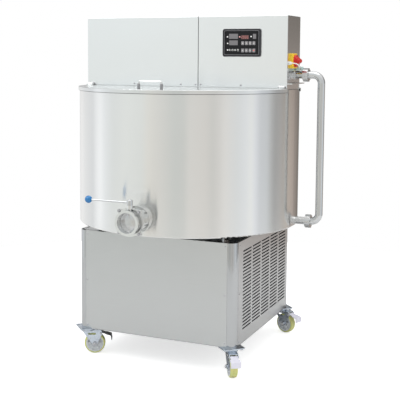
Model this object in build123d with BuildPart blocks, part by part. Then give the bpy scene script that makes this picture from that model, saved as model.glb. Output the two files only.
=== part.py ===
from build123d import *
import math
import os

# A liquid sourdough fermenter: a round cooled tank on a square cabinet with four braked
# swivel casters, a drive and control box bridging the tank, a butterfly outlet valve in
# front and a riser pipe on the right. Millimetres, floor at Z = 0, front towards -Y.

# Cabinet
cabinet_size = 804.0
cabinet_height = 478.0
corner_radius = 40.0
frame_wall = 3.0
post_return = 22.0
tray_lip = 22.0
rail_depth = 16.0
rail_width = 50.0
panel_wall = 1.5
panel_fold = 14.0
panel_gap = 0.5
slot_margin = 30.0
slot_rows = 24
slot_length = 112.0
slot_width = 7.0
slot_pitch_y = 131.0
slot_pitch_z = 15.65
slot_field_y = 14.0
slot_field_rise = 232.0
bearer_length = 60.0
bearer_wall = 8.0
bearer_inset = 80.0

# Tank
tank_radius = 540.0
tank_wall = 2.0
tank_height = 653.0
tank_gap = 23.0
tank_edge_radius = 6.0
foam_wall = 48.0
vessel_wall = 2.0
vessel_floor_wall = 3.0
vessel_floor_rise = 42.0
vessel_knuckle = 30.0
weld_fit = 0.1
foam_fit = 0.3

# Cooling coil round the vessel
coil_tube = 14.0
coil_header = 10.0
coil_rings = 8
coil_pitch = 52.0
coil_rise = 159.0
coil_gap = 0.3

# Lids
lid_wall = 2.0
lid_skirt = 17.0
lid_skirt_gap = 4.0
lid_edge_radius = 1.5
seal_height = 4.0
seal_width = 28.0
seal_inset = 6.0
lid_handle_width = 123.0
lid_handle_height = 40.0
lid_handle_rod = 9.0
lid_handle_bend = 12.0
lid_handle_inset = 96.0

# Lid hinges at the two ends of the bridge
hinge_inset = 22.0
hinge_length = 26.0
hinge_pin = 8.0
hinge_eye = 13.0
hinge_reach = 12.0
hinge_rise = 13.0
hinge_fit = 0.05
hinge_cheek = 3.0
hinge_side_gap = 0.5
hinge_leaf = 18.0
hinge_leaf_wall = 4.0

# Bridge beam and box covers
box_inset = 13.0
box_front = 85.0
box_back = 117.0
box_top = 1628.0
box_wall = 1.5
box_edge_radius = 3.0
box_seam = 81.0
seam_gap = 1.2
beam_height = 30.0
beam_wall = 3.0
beam_inset = 0.5
beam_overhang = 25.0
beam_plate = 4.0
ledge_wall = 2.0
ledge_reach = 36.0
cover_foot = 7.0

# Drive
motor_flange = 160.0
motor_flange_height = 12.0
gearbox_width = 124.0
gearbox_height = 96.0
gearbox_edge = 10.0
motor_diameter = 132.0
motor_height = 140.0
motor_fins = 18
motor_fin_depth = 5.0
motor_fin_width = 5.0
motor_cowl_height = 34.0
motor_box_width = 46.0
motor_box_height = 60.0
shaft_diameter = 30.0
shaft_fit = 0.05
shaft_grip = 70.0

# Anchor stirrer
anchor_gap = 22.0
anchor_width = 38.0
anchor_thickness = 8.0
anchor_height = 400.0
anchor_corner = 70.0
anchor_hub = 56.0
anchor_hub_height = 50.0

# Control panel
control_width = 190.0
control_height = 130.0
control_center_x = 304.0
control_center_z = 1502.0
control_depth = 9.0
control_frame = 10.0
control_corner = 12.0
control_back = 3.0
face_depth = 5.0
face_fit = 0.2
key_width = 13.5
key_height = 17.0
key_depth = 3.2
key_proud = 1.0
key_room = 1.0
key_fit = 0.4
key_corner = 2.0
key_columns = 4
key_pitch_x = 18.5
key_field_x = 34.0
key_upper_z = -2.0
key_lower_z = -36.0

# Main switch on the right side of the box
switch_size = 70.0
switch_depth = 12.0
switch_corner = 5.0
switch_y = -3.0
switch_z = 1418.0
knob_diameter = 57.0
knob_disc = 10.0
knob_grip = 17.0
knob_grip_length = 50.0
knob_grip_foot = 44.0
knob_grip_tip = 11.0
knob_shaft = 9.0
knob_shaft_length = 8.0
knob_fit = 0.1
knob_gap = 0.3

# Riser pipe, its unions and the position sensor
pipe_diameter = 35.0
pipe_wall = 1.5
pipe_stand = 110.0
pipe_y = 62.0
pipe_low_rise = 21.5
pipe_high_z = 1352.0
pipe_bend = 39.0
union_diameter = 64.0
union_width = 25.0
union_fit = 0.3
union_slots = 6
union_slot_width = 9.0
union_slot_depth = 4.0
union_low_stand = 46.0
union_high_stand = 37.0
flange_width = 60.0
flange_height = 47.0
flange_wall = 4.0
flange_corner = 8.0
inlet_inset = 60.0
inlet_bend = 20.0
shelf_reach = 35.0
shelf_wall = 2.0
shelf_rise = 19.0
sensor_length = 30.0
sensor_width = 24.0
sensor_height = 17.0
sensor_corner = 2.0
sensor_entry = 12.5
gland_diameter = 19.0
gland_collar = 5.0
gland_length = 13.0
gland_neck = 12.0
gland_y = -58.0
gland_z = 1408.0
cable_diameter = 5.0
cable_reach = 26.0
cable_bow = 33.0
cable_dip = 28.0

# Outlet valve
valve_z = 716.0
valve_bore = 90.0
valve_pipe_wall = 3.0
valve_reach = 145.0
valve_lip_diameter = 112.0
valve_lip_width = 9.0
valve_body_diameter = 127.0
valve_body_width = 17.0
valve_body_setback = 35.0
valve_flange_diameter = 124.0
valve_flange_width = 10.0
valve_flange_stand = 38.0
valve_collar_diameter = 108.0
valve_bolt_circle = 136.0
valve_lug_radius = 9.0
disc_thickness = 4.0
disc_arc = 6.2
disc_gap = 0.4
stem_diameter = 14.0
stem_fit = 0.05
stem_neck_diameter = 26.0
stem_neck_height = 12.0
stem_foot = 5.0
handle_hub_diameter = 27.0
handle_hub_height = 22.0
handle_gap = 0.5
handle_rod = 9.0
handle_reach = 205.0
ball_diameter = 34.0
ball_grip = 14.0

# Casters
caster_height = 130.0
wheel_diameter = 100.0
wheel_width = 34.0
tread_depth = 8.0
tread_round = 7.0
hub_rim = 6.0
hub_web = 8.0
hub_boss = 28.0
hub_length = 36.0
hub_ribs = 6
hub_rib_wall = 4.0
hub_rib_inset = 3.0
axle_diameter = 12.0
axle_fit = 0.05
axle_boss_radius = 12.0
axle_nut = 18.0
axle_nut_height = 8.0
caster_trail = 36.0
caster_inset = 31.0
caster_plate_long = 105.0
caster_plate_short = 92.0
caster_plate_wall = 4.0
caster_plate_corner = 8.0
caster_bolt_long = 80.0
caster_bolt_short = 66.0
caster_bolt_hole = 9.0
race_diameter = 66.0
race_height = 11.0
race_gap = 0.6
kingpin_diameter = 12.0
kingpin_fit = 0.05
fork_wall = 3.0
fork_gap = 1.2
fork_crown_radius = 33.0
fork_front = 24.0
fork_slot_length = 40.0
fork_slot_width = 9.0
fork_slot_x = 22.0
fork_slot_z = 97.0
pedal_pivot_x = 65.0
pedal_pivot_z = 100.0
pedal_boss_radius = 7.5
pedal_pin = 6.0
pedal_fit = 0.05
pedal_eye = 11.0
pedal_root_width = 35.0
pedal_width = 46.0
pedal_wall = 3.0
pedal_reach = 50.0
pedal_drop = 16.0
pedal_lip = 22.0
trail_angles = {
    "front_left": 25.0,
    "front_right": -57.0,
    "rear_right": -20.0,
    "rear_left": 160.0,
}

# Condensing unit in the cabinet
compressor_diameter = 150.0
compressor_height = 190.0
compressor_dome = 45.0
compressor_x = -120.0
compressor_y = 30.0
compressor_foot = 12.0
compressor_foot_radius = 9.0
compressor_plate_wall = 4.0
compressor_plate_length = 200.0
compressor_plate_width = 160.0
condenser_width = 300.0
condenser_height = 280.0
condenser_depth = 46.0
condenser_inset = 72.0
condenser_wall = 2.0
condenser_fins = 22
condenser_fin_wall = 1.0
condenser_tubes = 6
condenser_tube = 10.0
fan_diameter = 210.0
fan_hub_diameter = 54.0
fan_hub_length = 24.0
fan_blades = 5
fan_blade_wall = 2.0
fan_blade_width = 52.0
fan_blade_pitch = 32.0
fan_gap = 16.0
fan_motor_diameter = 62.0
fan_motor_length = 50.0
fan_pin = 8.0
fan_fit = 0.05
fan_strap_width = 24.0
fan_strap_wall = 3.0

# Places worked out from the sizes above
half = cabinet_size / 2
flat_half = half - corner_radius
panel_flat = 2 * (flat_half - panel_gap)
slot_columns = 1 + int((panel_flat - 2 * slot_margin - slot_length) // slot_pitch_y)
bearer_place = half - bearer_inset
caster_place = half - caster_inset
condenser_x = half - condenser_inset
tray_top = caster_height + frame_wall
cabinet_top = caster_height + cabinet_height
tank_bottom = cabinet_top + tank_gap
tank_top = tank_bottom + tank_height
vessel_floor = tank_bottom + tank_wall + vessel_floor_rise
vessel_under = vessel_floor - vessel_floor_wall
tank_inner = tank_radius - tank_wall
vessel_radius = tank_inner - foam_wall
vessel_inner = vessel_radius - vessel_wall
box_width = 2 * (tank_radius - box_inset)
box_side = box_width / 2
hinge_place = box_side - hinge_inset
pipe_x = tank_radius + pipe_stand
union_low_x = tank_radius + union_low_stand
union_high_x = box_side + union_high_stand
inlet_x = vessel_radius - inlet_inset
valve_front = tank_radius + valve_reach
valve_body_place = valve_front - valve_body_setback
valve_flange_place = tank_radius + valve_flange_stand
lid_under = tank_top + seal_height
lid_top = lid_under + lid_wall
lid_edge_y = -(box_front + hinge_reach + hinge_eye / 2)
hinge_y = -(box_front + hinge_reach)
hinge_z = tank_top + hinge_rise
lid_radius = tank_radius + lid_skirt_gap + lid_wall
lid_handle_place = lid_radius - lid_handle_inset
beam_top = tank_top + beam_height
beam_front = box_front - box_wall - beam_inset
beam_back = box_back - box_wall - beam_inset
beam_half = box_width / 2 - box_wall - beam_inset
cover_bottom = tank_top + cover_foot
pipe_low_z = tank_bottom + pipe_low_rise

os.makedirs("parts", exist_ok=True)


def save(builder, name):
    """Labels a finished piece and writes it."""
    builder.part.label = name
    export_step(builder.part, "parts/" + name + ".step")


def near(section, x, y):
    """The corner of a section that lies nearest to a point."""
    return section.vertices().sort_by_distance((x, y, 0))[0]


def ring_profile(outer, inner, low, high):
    """A rectangle of a section to be turned round the Z axis, from one radius to another."""
    with Locations((inner, low)):
        Rectangle(outer - inner, high - low, align=(Align.MIN, Align.MIN))


# Welded cabinet frame: base tray, round corner posts, top rails and tank bearers
rail_outer = half - panel_fold - frame_wall

with BuildPart() as cabinet_frame:
    with BuildSketch(Plane.XY.offset(caster_height)):
        RectangleRounded(cabinet_size, cabinet_size, corner_radius)
    extrude(amount=frame_wall)
    with BuildSketch(Plane.XY.offset(caster_height)):
        Rectangle(2 * rail_outer, 2 * rail_outer)
        Rectangle(2 * (rail_outer - frame_wall), 2 * (rail_outer - frame_wall), mode=Mode.SUBTRACT)
    extrude(amount=tray_lip)
    with BuildSketch(Plane.XY.offset(cabinet_top - rail_depth)):
        Rectangle(2 * rail_outer, 2 * rail_outer)
        Rectangle(2 * (rail_outer - rail_width), 2 * (rail_outer - rail_width), mode=Mode.SUBTRACT)
    extrude(amount=rail_depth)
    with BuildSketch(Plane.XY.offset(caster_height)):
        RectangleRounded(cabinet_size, cabinet_size, corner_radius)
        RectangleRounded(
            cabinet_size - 2 * frame_wall,
            cabinet_size - 2 * frame_wall,
            corner_radius - frame_wall,
            mode=Mode.SUBTRACT,
        )
        Rectangle(2 * flat_half, cabinet_size, mode=Mode.SUBTRACT)
        Rectangle(cabinet_size, 2 * flat_half, mode=Mode.SUBTRACT)
        with GridLocations(2 * flat_half + frame_wall, 2 * half - post_return, 2, 2):
            Rectangle(frame_wall, post_return)
        with GridLocations(2 * half - post_return, 2 * flat_half + frame_wall, 2, 2):
            Rectangle(post_return, frame_wall)
    extrude(amount=cabinet_height)
    with BuildSketch(Plane.XY.offset(cabinet_top - rail_depth)):
        with GridLocations(2 * bearer_place, 2 * bearer_place, 2, 2):
            Rectangle(bearer_wall, bearer_length)
    extrude(amount=rail_depth + tank_gap)
save(cabinet_frame, "cabinet_frame")


def cover_panel(name, outward, slotted):
    """A folded cover panel between two corner posts, with ventilation slots if asked."""
    width = 2 * (flat_half - panel_gap)
    height = cabinet_height - frame_wall - panel_gap
    middle = tray_top + panel_gap + height / 2
    inward = Vector(outward) * -1
    face = Plane(
        origin=Vector(outward) * half + Vector(0, 0, middle),
        x_dir=Vector(outward).cross(Vector(0, 0, -1)),
        z_dir=inward,
    )
    with BuildPart() as panel:
        with BuildSketch(face):
            Rectangle(width, height)
        extrude(amount=panel_fold)
        with BuildSketch(face.offset(panel_wall)):
            Rectangle(width - 2 * panel_wall, height - 2 * panel_wall)
        extrude(amount=panel_fold, mode=Mode.SUBTRACT)
        if slotted:
            side = 1 if face.x_dir.Y > 0 else -1
            rise = tray_top + slot_field_rise - middle
            with BuildSketch(face):
                with Locations((side * slot_field_y, rise)):
                    with GridLocations(slot_pitch_y, slot_pitch_z, slot_columns, slot_rows):
                        Rectangle(slot_length, slot_width)
            extrude(amount=panel_wall, mode=Mode.SUBTRACT)
    save(panel, name)


cover_panel("front_panel", (0, -1, 0), False)
cover_panel("rear_panel", (0, 1, 0), False)
cover_panel("right_panel", (1, 0, 0), True)
cover_panel("left_panel", (-1, 0, 0), True)



def tub(radius, low, edge):
    """Half section of a round block with a rounded lower edge, as high as the tank."""
    with BuildSketch(Plane.XZ) as section:
        ring_profile(radius, 0, low, tank_top)
        fillet(near(section, radius, low), edge)
    return section.sketch


# Outer tank shell with its flat bottom, pierced by the outlet neck and the inlet pipe
neck_radius = valve_bore / 2 + valve_pipe_wall
outlet_plane = Plane.XZ.offset(vessel_radius - 2 * vessel_knuckle)
inlet_plane = Plane.YZ.offset(inlet_x)
wall_reach = tank_radius - vessel_radius + 3 * vessel_knuckle

with BuildPart() as tank_jacket:
    revolve(tub(tank_radius, tank_bottom, tank_edge_radius), axis=Axis.Z)
    revolve(
        tub(tank_inner, tank_bottom + tank_wall, tank_edge_radius - tank_wall),
        axis=Axis.Z,
        mode=Mode.SUBTRACT,
    )
    with BuildSketch(outlet_plane):
        with Locations((0, valve_z)):
            Circle(neck_radius + weld_fit)
    extrude(amount=wall_reach, mode=Mode.SUBTRACT)
    with BuildSketch(inlet_plane):
        with Locations((pipe_y, pipe_low_z)):
            Circle(pipe_diameter / 2 + weld_fit)
    extrude(amount=wall_reach, mode=Mode.SUBTRACT)
save(tank_jacket, "tank_jacket")

# Inner vessel with its knuckled floor and the top flange that closes the jacket
with BuildPart() as tank_vessel:
    revolve(tub(vessel_radius, vessel_under, vessel_knuckle), axis=Axis.Z)
    revolve(
        tub(vessel_inner, vessel_floor, vessel_knuckle - vessel_wall),
        axis=Axis.Z,
        mode=Mode.SUBTRACT,
    )
    with BuildSketch(Plane.XY.offset(tank_top - vessel_floor_wall)):
        Circle(tank_inner - weld_fit)
        Circle(vessel_radius - vessel_wall / 2, mode=Mode.SUBTRACT)
    extrude(amount=vessel_floor_wall)
    with BuildSketch(outlet_plane):
        with Locations((0, valve_z)):
            Circle(neck_radius + weld_fit)
    extrude(amount=wall_reach, mode=Mode.SUBTRACT)
    with BuildSketch(Plane.XY.offset(vessel_under)):
        with Locations((inlet_x, pipe_y)):
            Circle(pipe_diameter / 2 + weld_fit)
    extrude(amount=vessel_floor_wall, mode=Mode.SUBTRACT)
save(tank_vessel, "tank_vessel")

# Foam between the vessel and the jacket, and under the vessel floor
coil_inner = vessel_radius + coil_gap
foam_inner = coil_inner + coil_tube + coil_gap

with BuildPart() as insulation:
    revolve(
        tub(tank_inner - foam_fit, tank_bottom + tank_wall + foam_fit, tank_edge_radius),
        axis=Axis.Z,
    )
    with BuildSketch(Plane.XY.offset(tank_top - vessel_floor_wall - foam_fit)):
        Circle(tank_radius)
    extrude(amount=vessel_knuckle, mode=Mode.SUBTRACT)
    revolve(
        tub(foam_inner, vessel_under - foam_fit, vessel_knuckle), axis=Axis.Z, mode=Mode.SUBTRACT
    )
    with BuildSketch(outlet_plane):
        with Locations((0, valve_z)):
            Circle(neck_radius + weld_fit)
    extrude(amount=wall_reach, mode=Mode.SUBTRACT)
    with BuildSketch(Plane.YZ.offset(inlet_x - pipe_diameter)):
        with Locations((pipe_y, pipe_low_z)):
            Circle(pipe_diameter / 2 + weld_fit)
        with Locations((pipe_y, vessel_under)):
            Rectangle(pipe_diameter + 2 * weld_fit, 2 * (vessel_under - pipe_low_z))
    extrude(amount=wall_reach + pipe_diameter, mode=Mode.SUBTRACT)
save(insulation, "insulation")

# Evaporator coil: rings joined by one header at the back
with BuildPart() as cooling_coil:
    with BuildSketch(Plane.XZ):
        for ring in range(coil_rings):
            with Locations((coil_inner + coil_tube / 2, tank_bottom + coil_rise + ring * coil_pitch)):
                Circle(coil_tube / 2)
    revolve(axis=Axis.Z)
    with BuildSketch(Plane.XY.offset(tank_bottom + coil_rise)):
        with Locations((0, coil_inner + coil_tube / 2)):
            Circle(coil_header / 2)
    extrude(amount=(coil_rings - 1) * coil_pitch)
save(cooling_coil, "cooling_coil")


skirt_low = lid_top - lid_skirt


def lid_section(plate_low):
    """Half section of a round cap with a turned-down skirt."""
    with BuildSketch(Plane.XZ) as cap:
        ring_profile(lid_radius, 0, plate_low, plate_low + lid_wall)
        ring_profile(lid_radius, lid_radius - lid_wall, skirt_low, plate_low + lid_wall)
        fillet(near(cap, lid_radius, plate_low + lid_wall), lid_edge_radius)
    return cap.sketch


# Rear cover: fixed half lid behind the bridge
with BuildPart() as rear_cover:
    revolve(lid_section(tank_top), axis=Axis.Z)
    with BuildSketch(Plane.XY.offset(skirt_low)):
        with Locations((0, beam_back - lid_radius)):
            Rectangle(3 * lid_radius, 2 * lid_radius)
    extrude(amount=2 * lid_skirt, mode=Mode.SUBTRACT)
save(rear_cover, "rear_cover")

# Front lid: hinged half lid with a bow handle and two hinge eyes
eye_starts = (-hinge_place - hinge_length / 2, hinge_place - hinge_length / 2)

with BuildPart() as front_lid:
    revolve(lid_section(lid_under), axis=Axis.Z)
    with BuildSketch(Plane.XY.offset(skirt_low)):
        with Locations((0, lid_edge_y + lid_radius)):
            Rectangle(3 * lid_radius, 2 * lid_radius)
    extrude(amount=2 * lid_skirt, mode=Mode.SUBTRACT)
    for start in eye_starts:
        with BuildSketch(Plane.YZ.offset(start)):
            with Locations((hinge_y, hinge_z)):
                Circle(hinge_eye / 2)
            with Locations((lid_edge_y - hinge_leaf, lid_top - lid_wall / 2)):
                Rectangle(
                    hinge_leaf + hinge_eye / 2, hinge_leaf_wall, align=(Align.MIN, Align.MIN)
                )
        extrude(amount=hinge_length)
        with BuildSketch(Plane.YZ.offset(start)):
            with Locations((hinge_y, hinge_z)):
                Circle(hinge_pin / 2 + hinge_fit)
        extrude(amount=hinge_length, mode=Mode.SUBTRACT)
    handle_half = lid_handle_width / 2 - lid_handle_rod / 2
    handle_high = lid_top + lid_handle_height - lid_handle_rod / 2
    with BuildLine(Plane.XZ.offset(lid_handle_place)) as bow:
        FilletPolyline(
            (-handle_half, lid_top),
            (-handle_half, handle_high),
            (handle_half, handle_high),
            (handle_half, lid_top),
            radius=lid_handle_bend,
        )
    with BuildSketch(Plane((-handle_half, -lid_handle_place, lid_top))):
        Circle(lid_handle_rod / 2)
    sweep(path=bow.wires()[0])
save(front_lid, "front_lid")

# Seal under the front lid, thinner where it lies on the ledge of the bridge
seal_outer = tank_radius - seal_inset
ledge_front = beam_front + ledge_reach

with BuildPart() as lid_seal:
    with BuildSketch(Plane.XY.offset(tank_top)):
        Circle(seal_outer)
        with Locations((0, lid_edge_y + seal_outer)):
            Rectangle(3 * seal_outer, 2 * seal_outer, mode=Mode.SUBTRACT)
        Circle(seal_outer - seal_width, mode=Mode.SUBTRACT)
        with Locations((0, lid_edge_y)):
            Rectangle(
                2 * (seal_outer - seal_width / 2),
                ledge_front + lid_edge_y,
                align=(Align.CENTER, Align.MAX),
            )
    extrude(amount=seal_height)
    with BuildSketch(Plane.XY.offset(tank_top)):
        with Locations((0, -ledge_front)):
            Rectangle(2 * tank_radius, ledge_front, align=(Align.CENTER, Align.MIN))
    extrude(amount=ledge_wall, mode=Mode.SUBTRACT)
save(lid_seal, "lid_seal")

# Bridge: closed beam across the tank, lid ledge in front, wide motor plate on top
with BuildPart() as bridge_beam:
    with BuildSketch(Plane.XY.offset(tank_top)):
        with Locations((0, -beam_front)):
            Rectangle(2 * beam_half, beam_front + beam_back, align=(Align.CENTER, Align.MIN))
    extrude(amount=beam_height - beam_plate)
    with BuildSketch(Plane.XY.offset(tank_top + beam_wall)):
        with Locations((0, -beam_front + beam_wall)):
            Rectangle(
                2 * (beam_half - beam_wall),
                beam_front + beam_back - 2 * beam_wall,
                align=(Align.CENTER, Align.MIN),
            )
    extrude(amount=beam_height - beam_plate - beam_wall, mode=Mode.SUBTRACT)
    with BuildSketch(Plane.XY.offset(beam_top - beam_plate)):
        with Locations((-box_width / 2, -beam_front)):
            Rectangle(
                box_width + beam_overhang, beam_front + beam_back, align=(Align.MIN, Align.MIN)
            )
    extrude(amount=beam_plate)
    with BuildSketch(Plane.XY.offset(tank_top)):
        with Locations((0, -ledge_front)):
            Rectangle(2 * beam_half, ledge_reach, align=(Align.CENTER, Align.MIN))
    extrude(amount=ledge_wall)
    with BuildSketch(Plane.XY.offset(tank_top)):
        Circle(shaft_diameter / 2 + beam_wall)
    extrude(amount=beam_height)
    with BuildSketch(Plane.XY.offset(tank_top)):
        Circle(shaft_diameter / 2 + shaft_fit)
    extrude(amount=beam_height, mode=Mode.SUBTRACT)
save(bridge_beam, "bridge_beam")

# Hinge brackets on the ledge: two cheeks and the pin at each end
cheek_half = hinge_length / 2 + hinge_side_gap + hinge_cheek
cheek_radius = hinge_eye / 2 - hinge_side_gap

with BuildPart() as lid_hinges:
    for middle in (-hinge_place, hinge_place):
        for start in (middle - cheek_half, middle + cheek_half - hinge_cheek):
            with BuildSketch(Plane.YZ.offset(start)):
                with Locations((hinge_y, hinge_z)):
                    Circle(cheek_radius)
                with Locations((hinge_y, tank_top + ledge_wall)):
                    Rectangle(
                        2 * cheek_radius,
                        hinge_z - tank_top - ledge_wall,
                        align=(Align.CENTER, Align.MIN),
                    )
            extrude(amount=hinge_cheek)
        with BuildSketch(Plane.YZ.offset(middle - cheek_half)):
            with Locations((hinge_y, hinge_z)):
                Circle(hinge_pin / 2)
        extrude(amount=2 * cheek_half)
save(lid_hinges, "lid_hinges")


def box_cover(name, left, right, open_side):
    """Half of the box: a hood open below and at the seam, its outer side ending on the beam."""
    wall_x = right if open_side == "left" else left
    with BuildPart() as cover:
        with BuildSketch(Plane.XY.offset(cover_bottom)):
            with Locations(((left + right) / 2, (box_back - box_front) / 2)):
                Rectangle(right - left, box_front + box_back)
        extrude(amount=box_top - cover_bottom)
        outer_edges = cover.edges().filter_by(Axis.Z).sort_by(Axis.X)
        fillet(outer_edges[-2:] if open_side == "left" else outer_edges[:2], box_edge_radius)
        fillet(cover.faces().sort_by(Axis.Z)[-1].edges().filter_by(Axis.X), box_edge_radius)
        seam_face = cover.faces().sort_by(Axis.X)[0 if open_side == "left" else -1]
        low_face = cover.faces().sort_by(Axis.Z)[0]
        offset(amount=-box_wall, openings=[seam_face, low_face])
        with BuildSketch(Plane.XY.offset(cover_bottom)):
            with Locations((wall_x, -box_front + box_edge_radius)):
                Rectangle(
                    2 * box_edge_radius,
                    box_front + box_back - 2 * box_edge_radius,
                    align=(Align.CENTER, Align.MIN),
                )
        extrude(amount=beam_top - cover_bottom, mode=Mode.SUBTRACT)
        with BuildSketch(Plane.XY.offset(cover_bottom)):
            with Locations((0, -beam_front)):
                Rectangle(
                    box_width + 2 * beam_overhang,
                    beam_front + beam_back,
                    align=(Align.CENTER, Align.MIN),
                )
        extrude(amount=beam_top - cover_bottom, mode=Mode.SUBTRACT)
    save(cover, name)


box_cover("left_cover", -box_width / 2, box_seam - seam_gap / 2, "right")
box_cover("control_cover", box_seam + seam_gap / 2, box_width / 2, "left")

# Gear motor standing on the beam, gripping the stirrer shaft from above
gearbox_low = beam_top + motor_flange_height
motor_low = gearbox_low + gearbox_height
cowl_low = motor_low + motor_height

with BuildPart() as gear_motor:
    with BuildSketch(Plane.XY.offset(beam_top)):
        Circle(motor_flange / 2)
    extrude(amount=motor_flange_height)
    with BuildSketch(Plane.XY.offset(gearbox_low)):
        RectangleRounded(gearbox_width, gearbox_width, gearbox_edge)
    extrude(amount=gearbox_height)
    with BuildSketch(Plane.XY.offset(motor_low)):
        Circle(motor_diameter / 2 - motor_fin_depth)
        with PolarLocations(motor_diameter / 2 - motor_fin_depth, motor_fins):
            Rectangle(2 * motor_fin_depth, motor_fin_width)
    extrude(amount=motor_height)
    with BuildSketch(Plane.XY.offset(cowl_low)):
        Circle(motor_diameter / 2)
    extrude(amount=motor_cowl_height, taper=8)
    with BuildSketch(Plane.XY.offset(motor_low + motor_height / 4)):
        with Locations((motor_diameter / 2, 0)):
            Rectangle(motor_box_width, motor_box_height)
    extrude(amount=motor_height / 2)
    with BuildSketch(Plane.XY.offset(beam_top)):
        Circle(shaft_diameter / 2 + shaft_fit)
    extrude(amount=shaft_grip, mode=Mode.SUBTRACT)
save(gear_motor, "gear_motor")

# Anchor stirrer: shaft, hub, cross bar and a U-shaped blade that follows the vessel
anchor_half = vessel_radius - vessel_wall - anchor_gap
anchor_low = vessel_floor + anchor_gap
anchor_top = anchor_low + anchor_height
shaft_top = beam_top + shaft_grip - knob_gap

with BuildPart() as anchor_stirrer:
    with BuildSketch(Plane.XZ.offset(-anchor_thickness / 2)) as anchor_section:
        with Locations((0, anchor_low)):
            Rectangle(2 * anchor_half, anchor_height, align=(Align.CENTER, Align.MIN))
        fillet(near(anchor_section, -anchor_half, anchor_low), anchor_corner)
        fillet(near(anchor_section, anchor_half, anchor_low), anchor_corner)
    extrude(amount=anchor_thickness)
    with BuildSketch(Plane.XZ.offset(-anchor_thickness / 2)) as window_section:
        with Locations((0, anchor_low + anchor_width)):
            Rectangle(
                2 * (anchor_half - anchor_width),
                anchor_height - 2 * anchor_width,
                align=(Align.CENTER, Align.MIN),
            )
        window_low = anchor_low + anchor_width
        for window_side in (anchor_width - anchor_half, anchor_half - anchor_width):
            fillet(near(window_section, window_side, window_low), anchor_corner - anchor_width)
    extrude(amount=anchor_thickness, mode=Mode.SUBTRACT)
    with BuildSketch(Plane.XY.offset(anchor_low)):
        Circle(anchor_hub / 2)
    extrude(amount=anchor_hub_height)
    with BuildSketch(Plane.XY.offset(anchor_top - anchor_hub_height)):
        Circle(anchor_hub / 2)
    extrude(amount=anchor_hub_height)
    with BuildSketch(Plane.XY.offset(anchor_low)):
        Circle(shaft_diameter / 2)
    extrude(amount=shaft_top - anchor_low)
save(anchor_stirrer, "anchor_stirrer")

# Control panel: bezel on the box front, black face in it, eight travelling keys
front_plane = Plane(
    origin=(control_center_x, -box_front, control_center_z), x_dir=(1, 0, 0), z_dir=(0, -1, 0)
)
window_width = control_width - 2 * control_frame
window_height = control_height - 2 * control_frame
face_plane = front_plane.offset(control_back)
key_level = control_back + face_depth + key_proud - key_depth

with BuildPart() as control_bezel:
    with BuildSketch(front_plane):
        RectangleRounded(control_width, control_height, control_corner)
    extrude(amount=control_depth)
    chamfer(control_bezel.faces().sort_by(Axis.Y)[0].edges(), control_back / 2)
    with BuildSketch(face_plane):
        RectangleRounded(window_width, window_height, control_corner / 2)
    extrude(amount=control_depth, mode=Mode.SUBTRACT)
save(control_bezel, "control_bezel")

key_places = []
for row_z in (key_upper_z, key_lower_z):
    for column in range(key_columns):
        offset_x = (column - (key_columns - 1) / 2) * key_pitch_x
        key_places.append((key_field_x + offset_x, row_z))

with BuildPart() as control_face:
    with BuildSketch(face_plane):
        RectangleRounded(
            window_width - 2 * face_fit, window_height - 2 * face_fit, control_corner / 2
        )
    extrude(amount=face_depth)
    with BuildSketch(face_plane.offset(face_depth)):
        with Locations(*key_places):
            RectangleRounded(
                key_width + 2 * key_fit, key_height + 2 * key_fit, key_corner + key_fit
            )
    extrude(amount=-(key_depth - key_proud + key_room), mode=Mode.SUBTRACT)
save(control_face, "control_face")

for number, place in enumerate(key_places, start=1):
    with BuildPart() as key:
        with BuildSketch(front_plane.offset(key_level)):
            with Locations(place):
                RectangleRounded(key_width, key_height, key_corner)
        extrude(amount=key_depth)
    save(key, "key_" + str(number))

# Main switch: square plate on the right side of the box, and its rotary grip
side_plane = Plane(
    origin=(box_width / 2, switch_y, switch_z), x_dir=(0, 1, 0), z_dir=(1, 0, 0)
)
grip_mid = side_plane.offset(switch_depth + knob_gap + knob_disc)

with BuildPart() as switch_plate:
    with BuildSketch(side_plane):
        RectangleRounded(switch_size, switch_size, switch_corner)
    extrude(amount=switch_depth)
    chamfer(switch_plate.faces().sort_by(Axis.X)[-1].edges(), box_wall)
    with BuildSketch(side_plane.offset(switch_depth)):
        Circle(knob_shaft / 2 + knob_fit)
    extrude(amount=-knob_shaft_length - knob_gap, mode=Mode.SUBTRACT)
save(switch_plate, "switch_plate")

with BuildPart() as switch_knob:
    with BuildSketch(side_plane.offset(switch_depth + knob_gap)):
        Circle(knob_diameter / 2)
    extrude(amount=knob_disc, taper=6)
    with BuildSketch(side_plane.offset(switch_depth - knob_shaft_length)):
        Circle(knob_shaft / 2)
    extrude(amount=knob_shaft_length + knob_gap)
    with BuildSketch(grip_mid):
        RectangleRounded(knob_grip_length, knob_grip_foot, knob_grip_foot / 2.4)
    with BuildSketch(grip_mid.offset(knob_grip)):
        RectangleRounded(knob_grip_length, knob_grip_tip, knob_grip_tip / 2.4)
    loft()
save(switch_knob, "switch_knob")

# Riser pipe: one bent tube between the two unions
mid_low = union_low_x + union_width / 2
mid_high = union_high_x + union_width / 2

with BuildPart() as riser_pipe:
    with BuildLine(Plane.XZ.offset(-pipe_y)) as riser_path:
        FilletPolyline(
            (mid_high + union_fit, pipe_high_z),
            (pipe_x, pipe_high_z),
            (pipe_x, pipe_low_z),
            (mid_low + union_fit, pipe_low_z),
            radius=pipe_bend,
        )
    with BuildSketch(
        Plane(origin=(mid_high + union_fit, pipe_y, pipe_high_z), x_dir=(0, 1, 0), z_dir=(1, 0, 0))
    ):
        Circle(pipe_diameter / 2)
        Circle(pipe_diameter / 2 - pipe_wall, mode=Mode.SUBTRACT)
    sweep(path=riser_path.wires()[0])
save(riser_pipe, "riser_pipe")

# Fixed pipe work: upper stub with flange and sensor shelf, lower inlet elbow, union nuts
shelf_z = pipe_high_z + shelf_rise

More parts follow.
